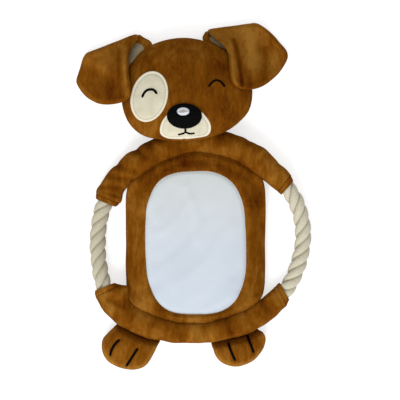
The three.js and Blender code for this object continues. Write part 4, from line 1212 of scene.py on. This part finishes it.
def tummy_disc(name, drop, thickness):
    def height(xy):
        dip = TUMMY_DIP * bell(TUMMY.depth(xy), TUMMY_DIP_WIDTH)
        return body_pad.top(xy) - TUMMY_SINK - dip + creases(xy, TUMMY_WRINKLES) - drop

    places = disc_places(TUMMY, 120, 30, -TUMMY_ALLOWANCE)
    return shell(name, places, height, lambda xy: height(xy) - thickness)


add_body()


# Head: a tilted pad whose crown rests on the ground and whose chin lies over the yoke
HEAD_SEAM = 20 * MM
HEAD_CHIN_LIFT = 8.5 * MM
HEAD_CROWN = 26 * MM
HEAD_REST_CLEARANCE = 0.4 * MM
HEAD_REST_MARGIN = 2 * MM
HEAD_REST_RAMP = 14 * MM
HEAD_OUTLINE = np.array([
    (1.0, -0.048), (0.954, 0.26), (0.809, 0.548), (0.534, 0.808), (0.198, 0.96), (-0.107, 0.998),
    (-0.412, 0.925), (-0.672, 0.75), (-0.863, 0.462), (-0.973, 0.125), (-0.992, -0.279),
    (-0.893, -0.644), (-0.672, -0.885), (-0.366, -0.977), (-0.046, -1.0), (0.29, -0.946),
    (0.611, -0.808), (0.824, -0.606), (0.959, -0.375),
])


def head_place(shares):
    return HEAD_CENTRE + np.asarray(shares) * HEAD_HALF


def head_seam(xy):
    return HEAD_SEAM + HEAD_CHIN_LIFT * (HEAD_CENTRE[1] - np.asarray(xy)[:, 1]) / HEAD_HALF[1]


def head_floor(xy):
    """The underside keeps clear of the yoke and the arms."""
    over = sleeve_clearance(xy) + HEAD_REST_MARGIN
    lift = SLEEVE_AXIS + SLEEVE_HEIGHT / 2 + HEAD_REST_CLEARANCE
    return lift * (1 - smoothstep(over / HEAD_REST_RAMP))


HEAD = drawn(HEAD_CENTRE, HEAD_HALF, HEAD_OUTLINE)
head_pad = Pad(HEAD, head_seam, HEAD_CROWN, HEAD_SEAM, 2.5, head_floor)


def seam_gap(points):
    return np.abs(points[:, 2] - head_seam(points[:, :2]))


def add_head():
    cover = head_pad.mesh("head_cover", 200, 40)
    carry(cover, inflate(cover, lambda p: (seam_gap(p) < CLOTH_SEAM_REACH) | (p[:, 2] < 1 * MM), 3.5 * MM))
    points = points_of(cover)
    edge = bell(seam_gap(points), 1.1 * MM) * bell(HEAD.depth(points[:, :2]), 3 * MM)
    push(cover, -1 * MM * edge)
    ruffle(cover, 30 * MM, 0.8 * MM, 4.2)
    lifted = points_of(cover)
    under = normals_of(cover)[:, 2] < 0
    lifted[under, 2] = np.maximum(lifted[under, 2], head_floor(lifted[under, :2]))
    set_points(cover, lifted)
    mark_pile(cover)
    finish_piece(cover, PLUSH, "plush", "head", "head_front", "head_back")
    return cover


on_head = surface_of(add_head())


# Sewing: short stitches of thread, and satin-stitched lines
STITCH_RINGS = 5
STITCH_SIDES = 6
STITCH_POINTS = STITCH_RINGS * STITCH_SIDES


def stitch_points(centre, along, length, width):
    """A grain of thread: rings along its length, half sunk in the cloth."""
    up = UP - along * along[2]
    up /= lengths(up)
    places = np.cos(np.pi * np.arange(STITCH_RINGS) / (STITCH_RINGS - 1))[:, None, None]
    reach = np.sqrt(np.maximum(0.02, 1 - places**2)) * width / 2
    ring = directions(around(STITCH_SIDES)) @ np.array([np.cross(up, along), up])
    return (centre + along * places * length / 2 + ring * reach).reshape(-1, 3)


def sewn_row(name, places, stitch, gap, width):
    """A closed row of stitches along a line of places."""
    places = np.vstack([places, places[:1]])
    run = run_along(places)
    count = max(1, round(run[-1] / (stitch + gap)))
    ends = [range(STITCH_SIDES), range(STITCH_POINTS - 1, STITCH_POINTS - STITCH_SIDES - 1, -1)]
    points, faces = [], []
    for k in range(count):
        at = run[-1] * (k + 0.5) / count + np.array([-stitch, stitch]) / 2
        start, end = np.column_stack([np.interp(at, run, axis) for axis in places.T])
        along = (end - start) / max(lengths(end - start), TINY)
        points += list(stitch_points((start + end) / 2, along, stitch, width))
        grain = [*ring_faces(STITCH_RINGS, STITCH_SIDES), *ends]
        faces += [tuple(k * STITCH_POINTS + i for i in face) for face in grain]
    return new_object(name, points, faces)


def satin_line(name, line, surface, width, height):
    """A raised line of satin stitch that tapers at its ends."""
    run = run_along(line)
    along = np.gradient(line, axis=0)
    side = np.column_stack([-along[:, 1], along[:, 0]]) / lengths(along)[:, None]
    turn = around(12)
    end = np.minimum(run, run[-1] - run)
    size = np.sqrt(np.clip(end / (width / 2), 0.04, 1)) * (1 + 0.06 * np.sin(FULL_TURN * run / (0.8 * MM)))
    places = line[:, None] + side[:, None] * (size[:, None] * width / 2 * np.cos(turn))[..., None]
    level = surface(places.reshape(-1, 2)).reshape(len(line), -1)
    level = (level + level.mean(1)[:, None]) / 2
    rise = size[:, None] * height * np.sin(turn)
    return closed_tube(name, np.concatenate([places, (level + rise)[..., None]], axis=2))


def add_black_satin(name, replaced, line, surface, width, height, body="head"):
    stitch = satin_line(name, line, surface, width, height)
    finish_piece(stitch, BLACK, "black_thread", body, replaced)
    return stitch


# Face
EYE_PATCH_HALF = (25.8 * MM, 18.3 * MM)
EYE_PATCH_TURN = math.radians(75)
EYE_PATCH_PLACE = head_place((-0.5725, -0.144))
MUZZLE_HALF = np.array([25.6, 13.8]) * MM
MUZZLE_PLACE = head_place((-0.023, -0.721))
MUZZLE_OUTLINE = [
    (-0.996, -0.29), (-0.957, 0.145), (-0.84, 0.58), (-0.605, 0.942), (0, 1.087), (0.566, 1.087),
    (0.8, 0.725), (0.957, 0.29), (0.996, -0.145), (0.918, -0.543), (0.645, -0.797), (0.293, -0.928),
    (0.02, -0.891), (-0.059, -0.841), (-0.137, -0.92), (-0.449, -0.928), (-0.762, -0.797),
    (-0.9375, -0.601),
]
FELT_THICKNESS = 1.4 * MM
PATCH_SEAM_INSET = 2.9 * MM
PATCH_MARGIN = 2.2 * MM
PATCH_EDGE = 1.1 * MM
PATCH_SINK = 0.5 * MM
PATCH_GROOVE = 0.7 * MM
PATCH_GROOVE_WIDTH = 0.9 * MM
NOSE_HALF = (17.5 * MM, 12.7 * MM)
NOSE_PLACE = head_place((-0.038, -0.519))
HIGHLIGHT_HALF = (6.2 * MM, 4 * MM)
HIGHLIGHT_PLACE = head_place((-0.0565, -0.433))
SWIRL_TURN = 3.4 * np.pi
LEFT_EYE = [
    (-0.684, -0.168), (-0.646, -0.072), (-0.6, -0.024), (-0.539, -0.011), (-0.492, -0.034), (-0.453, -0.1),
]
RIGHT_EYE = [(0.328, 0.038), (0.382, 0.125), (0.45, 0.167), (0.519, 0.129), (0.58, 0.038)]
MOUTH = {
    "left": [(0, -0.12), (0, -0.34), (-0.059, -0.471), (-0.293, -0.594)],
    "right": [(0, -0.12), (0, -0.34), (0.059, -0.435), (0.176, -0.507), (0.371, -0.471)],
}


def declare_sheet(outline, inset=0.0):
    """Works out the places round the outline of a flat cut cloth; nothing uses them."""
    places = outline.place(ANGLES[:-1], inset)


def add_patch(name, outline, surface, thickness, dome=0.0, seam_inset=None):
    """Cloth sewn on a surface: a rounded edge and, where it has a seam, a groove and a puffed rim."""
    def height(xy):
        depth = np.maximum(outline.depth(xy), 0)
        edge = np.sqrt(1 - (1 - np.minimum(depth / PATCH_EDGE, 1)) ** 2)
        groove = PATCH_GROOVE * bell(depth - seam_inset, PATCH_GROOVE_WIDTH) if seam_inset else 0
        crown = dome * np.sqrt(np.maximum(0, 1 - outline.share(xy) ** 2.2))
        return surface(xy) + 0.1 * MM + thickness * edge - groove + crown

    return shell(name, disc_places(outline, 132, 24), height, lambda xy: surface(xy) - PATCH_SINK)


def add_felt(name, outline, replaced):
    """A felt patch with its seam; returns the surface that it makes."""
    outline = outline.cut(lambda xy: HEAD.depth(xy) < PATCH_MARGIN)
    patch = add_patch(f"{name}_felt", outline, on_head, FELT_THICKNESS, seam_inset=PATCH_SEAM_INSET)
    depth = outline.depth(points_of(patch)[:, :2])
    store(patch, "rim", 1 - smoothstep((depth - PATCH_SEAM_INSET + 1.2 * MM) / (1 * MM)))
    finish_piece(patch, FELT, "felt", "head", replaced)
    declare_sheet(outline)
    surface = surface_of(patch)
    line = outline.place(around(240), PATCH_SEAM_INSET)
    seam = sewn_row(f"{name}_seam", np.column_stack([line, surface(line)]), 2.1 * MM, 0.6 * MM, 0.5 * MM)
    finish_piece(seam, GREY_THREAD, "seam_thread", "head")
    return surface


def add_nose(on_muzzle):
    """The nose pad lies on the head and the muzzle, and has a stitched highlight with a swirl."""
    def base(xy):
        return np.maximum(on_head(xy), on_muzzle(xy))

    outline = ellipse(NOSE_PLACE, *NOSE_HALF)
    nose = add_patch("nose_cloth_pad", outline, base, 1.6 * MM, dome=2.2 * MM)
    finish_piece(nose, NOSE, "nose_cloth", "head", "nose")
    outline = ellipse(HIGHLIGHT_PLACE, *HIGHLIGHT_HALF)
    highlight = add_patch("highlight_satin", outline, surface_of(nose), 0.6 * MM, dome=0.3 * MM)
    finish_piece(highlight, WHITE_THREAD, "highlight_thread", "head", "nose_highlight")
    reach = np.linspace(0.5, 3.2, 60)[:, None] * MM
    line = HIGHLIGHT_PLACE + reach * directions(np.linspace(0, SWIRL_TURN, 60)) * (1, 0.6)
    swirl = satin_line("highlight_swirl", line, surface_of(highlight), 0.45 * MM, 0.3 * MM)
    finish_piece(swirl, GREY_THREAD, "seam_thread", "head")


def add_face():
    eye_outline = ellipse(EYE_PATCH_PLACE, *EYE_PATCH_HALF, EYE_PATCH_TURN)
    on_eye = add_felt("eye_patch", eye_outline, "eye_patch")
    on_muzzle = add_felt("muzzle", drawn(MUZZLE_PLACE, MUZZLE_HALF, MUZZLE_OUTLINE), "muzzle_patch")
    add_nose(on_muzzle)
    for side, eye, surface, width in (
        ("left", LEFT_EYE, on_eye, 2.5 * MM), ("right", RIGHT_EYE, on_head, 2.1 * MM),
    ):
        line = smooth_line(head_place(eye), 10)
        add_black_satin(f"{side}_eye_satin", f"{side}_eye_stitch", line, surface, width, 0.9 * MM)
    for side, shares in MOUTH.items():
        line = smooth_line(MUZZLE_PLACE + np.array(shares) * MUZZLE_HALF, 10)
        add_black_satin(f"mouth_{side}_satin", "mouth_stitch", line, on_muzzle, 2 * MM, 0.8 * MM)


add_face()


# Ears: a root that leaves the head's seam, a roll at the crest, and a flap that folds over
EAR_REACH = 40 * MM
EAR_THICKNESS = 4.4 * MM
EAR_CREST_RAMP = 20 * MM
EAR_SOFTNESS = 6 * MM
EAR_LEAVE_SHARE = 0.88
EAR_ROLL_HEIGHT = 12 * MM
EAR_ROLL_WIDTH = 8 * MM
EAR_CORNER_ROUNDS = 24
EAR_PUFF = 7.5 * MM
EAR_RIM_WIDTH = 3.1 * MM
EAR_ROOT_RIM = 2.2 * MM
EAR_FLAP_RIM = 1.3 * MM
EAR_UPPER_PUFF, EAR_LOWER_PUFF = 0.62, 0.3
FLAP_OVER_ROOT = 0.6 * MM
FLAP_OVER_DRAPE = 1.2 * MM
FLAP_OVER_HEAD = 0.9 * MM
FLAP_CLEARANCE = 0.6 * MM
FLAP_SHADE_DEPTH = 1.6 * MM
LINING_LIFT = 0.3 * MM
LINING_INSET = 3 * MM
EARS = {
    "left": {
        "flap_place": (-1.252, 0.375),
        "base_place": (-0.992, 0.683),
        "crest": [(-0.35, 0.475), (0.79, 0.925)],
        "lining_inset": 9.3,
        "flap": [
            (0.79, 0.96), (0.375, 0.79), (0, 0.64), (-0.325, 0.51), (-0.4625, 0.4325),
            (-0.575, 0.2625), (-0.6375, 0.05), (-0.7, -0.175), (-0.73, -0.2875), (-0.6625, -0.4375),
            (-0.525, -0.625), (-0.375, -0.75), (-0.175, -0.8375), (0.075, -0.87), (0.325, -0.84),
            (0.55, -0.775), (0.6625, -0.6625), (0.65, -0.45), (0.6075, -0.15), (0.59, 0.15),
            (0.6, 0.4), (0.66, 0.58), (0.8, 0.72), (0.92, 0.87),
        ],
        "base": [
            (0.7375, 0.2875), (0.55, 0.4125), (0.3625, 0.495), (-0.05, 0.3425), (-0.425, 0.195),
            (-0.725, 0.0625), (-0.625, -0.15), (-0.3, -0.4), (0, -0.575), (0.45, -0.35), (0.75, 0.05),
        ],
        "folds": [
            ([(119, 52), (119, 74), (121, 98)], 2.2, -1.0),
            ([(125, 48), (125, 72), (126, 94)], 3, 1.5),
            ([(112, 66), (111, 82), (112, 99)], 3, -0.3),
            ([(104, 62), (102, 80), (104, 98)], 4, 0.5),
            ([(94, 60), (91, 76), (95, 92)], 5, -0.5),
        ],
    },
    "right": {
        "flap_place": (0.962, 0.721),
        "base_place": (0.6565, 0.99),
        "crest": [(-1.0375, 0.58), (0.1, 0.74)],
        "lining_inset": 7.4,
        "flap": [
            (-1.1, 0.59), (-0.625, 0.6325), (-0.25, 0.6925), (0.1, 0.74), (0.3, 0.65),
            (0.55, 0.4625), (0.775, 0.225), (0.925, 0.025), (0.96, -0.125), (0.875, -0.3125),
            (0.7, -0.55), (0.45, -0.7875), (0.2, -0.9175), (-0.075, -0.95), (-0.3125, -0.915),
            (-0.45, -0.775), (-0.5, -0.55), (-0.5175, -0.3), (-0.55, -0.075), (-0.6375, 0.125),
            (-0.7625, 0.275), (-0.95, 0.38), (-1.13, 0.45),
        ],
        "base": [
            (-0.675, -0.0625), (-0.6375, 0.125), (-0.55, 0.205), (-0.125, 0.2575), (0.25, 0.3175),
            (0.55, 0.35), (0.6, 0.2), (0.5, -0.175), (0.325, -0.5), (0.05, -0.55), (-0.375, -0.35),
        ],
        "folds": [
            ([(234, 40), (238, 56), (240, 70), (242, 86)], 2.4, -2.0),
            ([(264, 48), (266, 60), (264, 78)], 3, -1.0),
            ([(250, 34), (253, 56), (252, 78)], 6, 1.2),
            ([(275, 46), (275, 58), (270, 74)], 4, 0.6),
            ([(231, 46), (233, 64), (235, 84)], 3, 1.5),
            ([(251, 72), (250, 80), (251, 90)], 3, -0.7),
        ],
    },
}


def head_outside(xy):
    return -HEAD.depth(xy)


def head_drape(xy):
    """Cloth that leaves the head's front at a tangent."""
    share, power = HEAD.share(xy), head_pad.fullness
    lift = math.sqrt(1 - EAR_LEAVE_SHARE**power)
    slope = -power * EAR_LEAVE_SHARE ** (power - 1) / (2 * lift)
    beyond = head_seam(xy) + HEAD_CROWN * (lift + slope * (share - EAR_LEAVE_SHARE))
    return np.where(share <= EAR_LEAVE_SHARE, head_pad.top(xy), beyond)


def puffed(outline, xy, fullness):
    """1 over most of an outline, and 0 at its edge."""
    return np.sqrt(1 - np.clip(outline.share(xy), 0, 1) ** fullness)


class Ear:
    def __init__(self, layout):
        flap_centre = head_place(layout["flap_place"])
        self.start, self.end = flap_centre + np.array(layout["crest"]) * EAR_REACH
        self.along = (self.end - self.start) / lengths(self.end - self.start)
        self.outward = np.array([-self.along[1], self.along[0]])
        base = drawn(head_place(layout["base_place"]), EAR_REACH, layout["base"])
        flap = drawn(flap_centre, EAR_REACH, layout["flap"])
        lining = Outline(base.centre, base.reaches - layout["lining_inset"] * MM)
        self.base = self.trimmed(base, 2 * MM, 3 * MM)
        self.lining = self.trimmed(lining, 5 * MM, 2 * MM)
        self.flap = flap.cut(lambda xy: self.inside(xy) < 0).smoothed(EAR_CORNER_ROUNDS)

    def trimmed(self, outline, from_crest, under_head):
        """The outline as far as the crest on one side and the head on the other."""
        return outline.cut(lambda xy: (self.inside(xy) < from_crest) | (head_outside(xy) < -under_head))

    def inside(self, xy):
        """How far each place is from the crest, towards the ear's own side."""
        return -(np.asarray(xy) - self.start) @ self.outward

    def underside(self, xy):
        inside = np.maximum(0, self.inside(xy))
        outside = np.maximum(0.3 * MM, head_outside(xy))
        level = head_seam(xy) - EAR_THICKNESS / 2
        return lerp(0.1 * MM, level, smoothstep(inside / (inside + outside)))

    def root_top(self, xy):
        free = smoothstep(head_outside(xy) / (4 * MM))
        rim = EAR_ROOT_RIM * bell(self.base.depth(xy) - EAR_RIM_WIDTH, EAR_RIM_WIDTH) * free
        return self.underside(xy) + EAR_THICKNESS * (1 + puffed(self.base, xy, 8)) / 2 + rim

    def root_bottom(self, xy):
        return self.underside(xy) + EAR_THICKNESS * (1 - puffed(self.base, xy, 8)) / 2

    def flap_underside(self, xy):
        over_base = self.underside(xy) + EAR_THICKNESS + FLAP_OVER_ROOT
        beyond = smoothstep((self.base.share(xy) - 1.05) / 0.5)
        low = lerp(over_base, 0.3 * MM, beyond)
        draped = soft_max(head_drape(xy) + FLAP_OVER_DRAPE, low, EAR_SOFTNESS)
        lain = lerp(low, draped, smoothstep(self.inside(xy) / EAR_CREST_RAMP))
        over_head = np.where(head_outside(xy) < 0, on_head(xy) + FLAP_OVER_HEAD, 0)
        return np.maximum(lain, over_head)

    def flap_skins(self, xy):
        """The heights of the flap's two sides, which meet in a half round at the crest."""
        middle = self.flap_underside(xy) + 2 * MM
        puff = EAR_PUFF * puffed(self.flap, xy, 7)
        from_crest = smoothstep(self.inside(xy) / (1.6 * EAR_ROLL_WIDTH))
        turned = 1 - np.clip(self.inside(xy) / EAR_ROLL_WIDTH, 0, 1)
        crest = EAR_ROLL_HEIGHT / 2
        top = lerp(crest * (1 + np.sqrt(1 - turned**2)), middle + EAR_UPPER_PUFF * puff, from_crest)
        below = lerp(crest, np.maximum(middle - EAR_LOWER_PUFF * puff, 0.2 * MM), from_crest)
        return top, np.minimum(below, top - 0.3 * MM * (self.flap.share(xy) < 0.999))

    def flap_top(self, xy):
        return self.flap_skins(xy)[0]

    def flap_bottom(self, xy):
        return self.flap_skins(xy)[1]


def fold_flap(flap, ear, folds):
    """A thicker rim, and the soft folds that run down the flap; returns how they shade the pile."""
    points, facing = points_of(flap), normals_of(flap)[:, 2]
    flat = points[:, :2]
    depth = ear.flap.depth(flat)
    fade = smoothstep(depth / (4 * MM)) * smoothstep(ear.inside(flat) / (9 * MM)) * smoothstep(2 * facing)
    relief = creases(flat, folds) * fade
    points[:, 2] += relief + EAR_FLAP_RIM * bell(depth - 3.5 * MM, 2.6 * MM) * fade
    set_points(flap, points)
    return relief / FLAP_SHADE_DEPTH


def lift_off_head(piece):
    points = points_of(piece)
    over = head_outside(points[:, :2]) < 0
    points[over, 2] = np.maximum(points[over, 2], on_head(points[over, :2]) + FLAP_CLEARANCE)
    set_points(piece, points)


def finish_ear_cover(cover, body, *replaced):
    finish_piece(cover, SMOOTH_PLUSH, "plush", body, *replaced)


def add_ear_lining(name, body, outline, inset, surface, depth):
    lining = shell(
        f"{name}_lining_cloth", disc_places(outline, 100, 16, inset),
        lambda xy: surface(xy) + LINING_LIFT, lambda xy: surface(xy) - depth,
    )
    finish_piece(lining, LINING, "ear_lining", body, f"{name}_lining")
    declare_sheet(outline, inset)


def add_ear_flap(side, ear, folds):
    name = f"{side}_ear_flap"
    flap = shell(f"{name}_cover", disc_places(ear.flap, 140, 30), ear.flap_top, ear.flap_bottom, True)
    smooth_points(flap, 0.5, 6)
    shade = fold_flap(flap, ear, folds)
    lift_off_head(flap)
    ruffle(flap, 15 * MM, 0.6 * MM, 7.7)
    mark_pile(flap, shade)
    finish_ear_cover(flap, name, f"{name}_outer")
    from_below = surface_of(flap, -0.1, np.nanmean)
    add_ear_lining(name, name, ear.flap, LINING_INSET, from_below, 0.5 * MM)


def add_ear_root(side, ear):
    name = f"{side}_ear_root"
    root = shell(f"{name}_cover", disc_places(ear.base, 110, 20), ear.root_top, ear.root_bottom, True)
    mark_pile(root)
    finish_ear_cover(root, f"{side}_ear", f"{name}_outer")
    add_ear_lining(name, f"{side}_ear", ear.lining, 0, surface_of(root), 0.4 * MM)


def add_ear_roll(side, ear):
    """The rounded fold at the crest with its strip of lining."""
    span = lengths(ear.end - ear.start)
    reach = np.linspace(0.03, 0.98, 40)
    end = np.minimum(reach, 1 - reach) * span + 1.5 * MM
    sizes = np.sqrt(np.clip(end / (7 * MM), 0.02, 1))
    half_width, half_height = EAR_ROLL_WIDTH / 2, EAR_ROLL_HEIGHT / 2 - 0.6 * MM

    def ring(share, size, angle, rise=0.0):
        middle = ear.start + ear.along * span * share - ear.outward * (half_width + 0.7 * MM)
        across = np.cos(angle) * (half_width * size + rise)
        up = np.sin(angle) * (half_height * lerp(0.45, 1, size) + rise) + half_height
        return np.column_stack([middle + ear.outward * across[:, None], np.maximum(up, LOWEST)])

    rings = [ring(share, size, around(28)) for share, size in zip(reach, sizes)]
    roll = closed_tube(f"{side}_ear_crest_roll", rings)
    mark_pile(roll)
    finish_ear_cover(roll, None)

    inner = np.radians(np.linspace(70, 222, 20))
    rings = [
        np.vstack([ring(share, size, inner, 0.35 * MM), ring(share, size, inner[::-1], -0.5 * MM)])
        for share, size in zip(reach[3:-3], sizes[3:-3])
    ]
    lining = closed_tube(f"{side}_ear_crest_lining_cloth", rings)
    finish_piece(lining, LINING, "ear_lining", None)
    for piece in (roll, lining):
        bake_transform(piece)


for side, layout in EARS.items():
    ear = Ear(layout)
    add_ear_flap(side, ear, layout["folds"])
    add_ear_root(side, ear)
    add_ear_roll(side, ear)


# Feet: small pads that are sewn to the seat's outer edge
FOOT_REACH = 28 * MM
FOOT_SEAM = 9 * MM
FOOT_CROWN = 9.5 * MM
FOOT_FULLNESS = 2.4
FOOT_RAMP = 13 * MM
FOOT_CORNER_ROUNDS = 20
FOOT_TUCK = 3.6 * MM
FOOT_TUCK_HEIGHT = 1.6 * MM
# How strongly a painted highlight lightens the feet's free rims
FOOT_RIM_HIGHLIGHT = 1.2
FOOT_SEAM_DIP = 0.7 * MM
TOE_GROOVE = 1.5 * MM
TOE_GROOVE_WIDTH = 2.4 * MM
FEET = {
    "left": {
        "place": (-0.675, -1.183),
        "outline": [
            (-0.964, 0.446), (-1.043, 0.214), (-1.036, -0.036), (-0.946, -0.286), (-0.75, -0.5),
            (-0.464, -0.661), (-0.107, -0.75), (0.214, -0.743), (0.5, -0.625), (0.714, -0.375),
            (0.857, -0.107), (0.964, 0.143), (1.036, 0.375), (0.68, 0.86), (0.5, 0.964),
            (-0.214, 1.107), (-0.554, 0.839),
        ],
        "toes": [
            [(-0.393, 0.339), (-0.536, 0.214), (-0.679, 0), (-0.75, -0.25)],
            [(0.25, 0.036), (0.035, -0.3), (-0.179, -0.625)],
        ],
    },
    "right": {
        "place": (0.367, -1.162),
        "outline": [
            (-0.946, 0.161), (-0.893, -0.107), (-0.804, -0.321), (-0.643, -0.518), (-0.393, -0.661),
            (-0.071, -0.714), (0.25, -0.643), (0.571, -0.482), (0.786, -0.25), (0.929, -0.018),
            (1.0, 0.25), (0.964, 0.429), (0.857, 0.554), (0.714, 0.625), (0.43, 0.89),
            (-0.464, 0.68), (-0.857, 0.43),
        ],
        "toes": [
            [(-0.357, 0.179), (-0.24, -0.16), (-0.089, -0.5)],
            [(0.321, 0.429), (0.44, 0.12), (0.571, -0.214)],
        ],
    },
}


def tucked(xy, ramp):
    """0 where a foot ends under the seat's side, 1 where it is free of it."""
    return np.clip((sleeve_clearance(xy) + FOOT_TUCK) / (ramp + FOOT_TUCK), 0, 1)


def foot_seam(xy):
    return lerp(FOOT_TUCK_HEIGHT, FOOT_SEAM, smoothstep(tucked(xy, 8 * MM)))


def foot_swell(xy):
    return lerp(0.06, 1, np.sin(np.pi / 2 * tucked(xy, FOOT_RAMP)))


def foot_pad(outline):
    return Pad(outline, foot_seam, FOOT_CROWN, FOOT_SEAM, FOOT_FULLNESS, swell=foot_swell)


def bend_foot(piece, side):
    """Bakes the piece's transform into its points; the joint's pivot and outward direction are worked out
    and not used.
    """
    joint = joints[f"{side}_foot_flap"]
    pivot = np.array(joint["pos_m"])
    outward = np.cross(joint["axis"], UP)
    outward *= np.sign(outward[:2] @ (pivot[:2] - RING_CENTRE))
    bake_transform(piece)


def shape_foot(cover, outline, toes):
    """Grooves between the toes, a seam that draws in, and a painted highlight along the rim."""
    points = points_of(cover)
    groove = sum(bell(distance_to_line(points[:, :2], toe), TOE_GROOVE_WIDTH) for toe in toes)
    groove *= TOE_GROOVE * (normals_of(cover)[:, 2] > 0.2)
    edge = bell(points[:, 2] - FOOT_SEAM, 0.9 * MM) * bell(outline.depth(points[:, :2]), 2 * MM)
    push(cover, -groove - FOOT_SEAM_DIP * edge)
    ruffle(cover, 12 * MM, 0.4 * MM, 6.6)
    flat = points_of(cover)[:, :2]
    rim = bell(outline.depth(flat) - 1.5 * MM, 2.5 * MM) * smoothstep(sleeve_clearance(flat) / (6 * MM))
    # A painted highlight along the foot's free rim
    mark_pile(cover, FOOT_RIM_HIGHLIGHT * rim)


def add_foot(side, layout):
    centre = RING_CENTRE + np.array(layout["place"]) * RING_HALF
    outline = drawn(centre, FOOT_REACH, layout["outline"]).smoothed(FOOT_CORNER_ROUNDS)
    outline = outline.cut(lambda xy: sleeve_clearance(xy) < -FOOT_TUCK)
    cover = foot_pad(outline).mesh(f"{side}_foot_cover", 120, 28)

    def is_still(points):
        at_seam = np.abs(points[:, 2] - FOOT_SEAM) < 1.6 * MM
        return at_seam | (sleeve_clearance(points[:, :2]) < 4 * MM)

    carry(cover, inflate(cover, is_still, 2 * MM, 3 * MM))
    toes = [smooth_line(centre + np.array(toe) * FOOT_REACH, 10) for toe in layout["toes"]]
    shape_foot(cover, outline, toes)
    finish_piece(cover, PLUSH, "plush", None, f"{side}_foot_front", f"{side}_foot_back")
    on_foot = surface_of(cover)
    bend_foot(cover, side)
    for index, toe in enumerate(toes, 1):
        name, replaced = f"{side}_toe_satin_{index}", f"{side}_foot_toe_stitch_{index}"
        stitch = add_black_satin(name, replaced, toe, on_foot, 2.6 * MM, 0.9 * MM, None)
        bend_foot(stitch, side)
    core = foot_pad(outline.cut(lambda xy: sleeve_clearance(xy) < 6 * MM))
    stuffing = core.mesh(f"{side}_foot_stuffing", 60, 12, 4.5 * MM)
    finish_piece(stuffing, FILLING, "filling", None, f"{side}_foot_filling")
    bend_foot(stuffing, side)


for side, layout in FEET.items():
    add_foot(side, layout)


# What lies inside: stuffing, crinkle film, squeaker and the hidden rope
def add_body_insides():
    stuffing = body_pad.mesh("body_stuffing", 80, 16, 5 * MM)
    finish_piece(stuffing, FILLING, "filling", "torso", "body_filling")
    film = tummy_disc("crinkle_film", 2.2 * MM, 0.3 * MM)
    ruffle(film, 9 * MM, 0.25 * MM, 8.8)
    finish_piece(film, FILM, "film", "torso", "crinkle_sheet")


def add_head_stuffing():
    """The head's stuffing is hollowed out above the squeaker."""
    stuffing = head_pad.mesh("head_stuffing", 96, 24, 5 * MM)
    low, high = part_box("squeaker_bulb")
    middle = np.array([low.x + high.x, low.y + high.y]) / 2
    radius = (high.x - low.x) / 2 + 1.5 * MM
    points = points_of(stuffing)
    near = lengths(points[:, :2] - middle) < radius
    points[near & (normals_of(stuffing)[:, 2] < 0), 2] = high.z + 0.5 * MM
    set_points(stuffing, points)
    finish_piece(stuffing, FILLING, "filling", "head", "head_filling")


add_body_insides()
add_head_stuffing()
for name, material in (
    ("rope_in_yoke", HIDDEN_ROPE), ("rope_in_seat_left", HIDDEN_ROPE), ("rope_in_seat_right", HIDDEN_ROPE),
    ("rope_splice_wrap", WHITE_THREAD), ("squeaker_bulb", BULB_PLASTIC), ("squeaker_reed", REED_PLASTIC),
):
    dress(frame["nodes"][name], material)


# Cuff seams: a row of brown thread round each cuff
CUFF_RAY = 30 * MM
CUFF_THREAD = 0.7 * MM
THICK_CUFF_THREADS = {"right_arm": 1 * MM}


def add_cuff_seam(limb, inwards):
    centre, along, outward = frame_at(cuff(limb) + inwards * CUFF_SEAM_INSET / ROUTE_LENGTH)
    tree = ray_tree(bpy.data.objects[f"{limb}_cover"])
    places = []
    for turn in around(90):
        ray = outward * math.cos(turn) + UP * math.sin(turn)
        middle = centre + inwards * along * cuff_shift(limb, math.cos(turn))
        hit = tree.ray_cast(Vector(middle + ray * CUFF_RAY), Vector(-ray))[0]
        places.append(np.array(hit) if hit else middle + ray * CUFF_WIDTH / 2)
    width = THICK_CUFF_THREADS.get(limb, CUFF_THREAD)
    seam = sewn_row(f"{limb}_cuff_seam", np.array(places), 2.6 * MM, 0.6 * MM, width)
    handle = limb.split("_")[0] + "_handle"
    finish_piece(seam, BROWN_THREAD, "seam_thread", handle, f"{limb}_cuff_stitch")


for limb, inwards in (("left_arm", 1), ("left_leg", -1), ("right_arm", -1), ("right_leg", 1)):
    add_cuff_seam(limb, inwards)
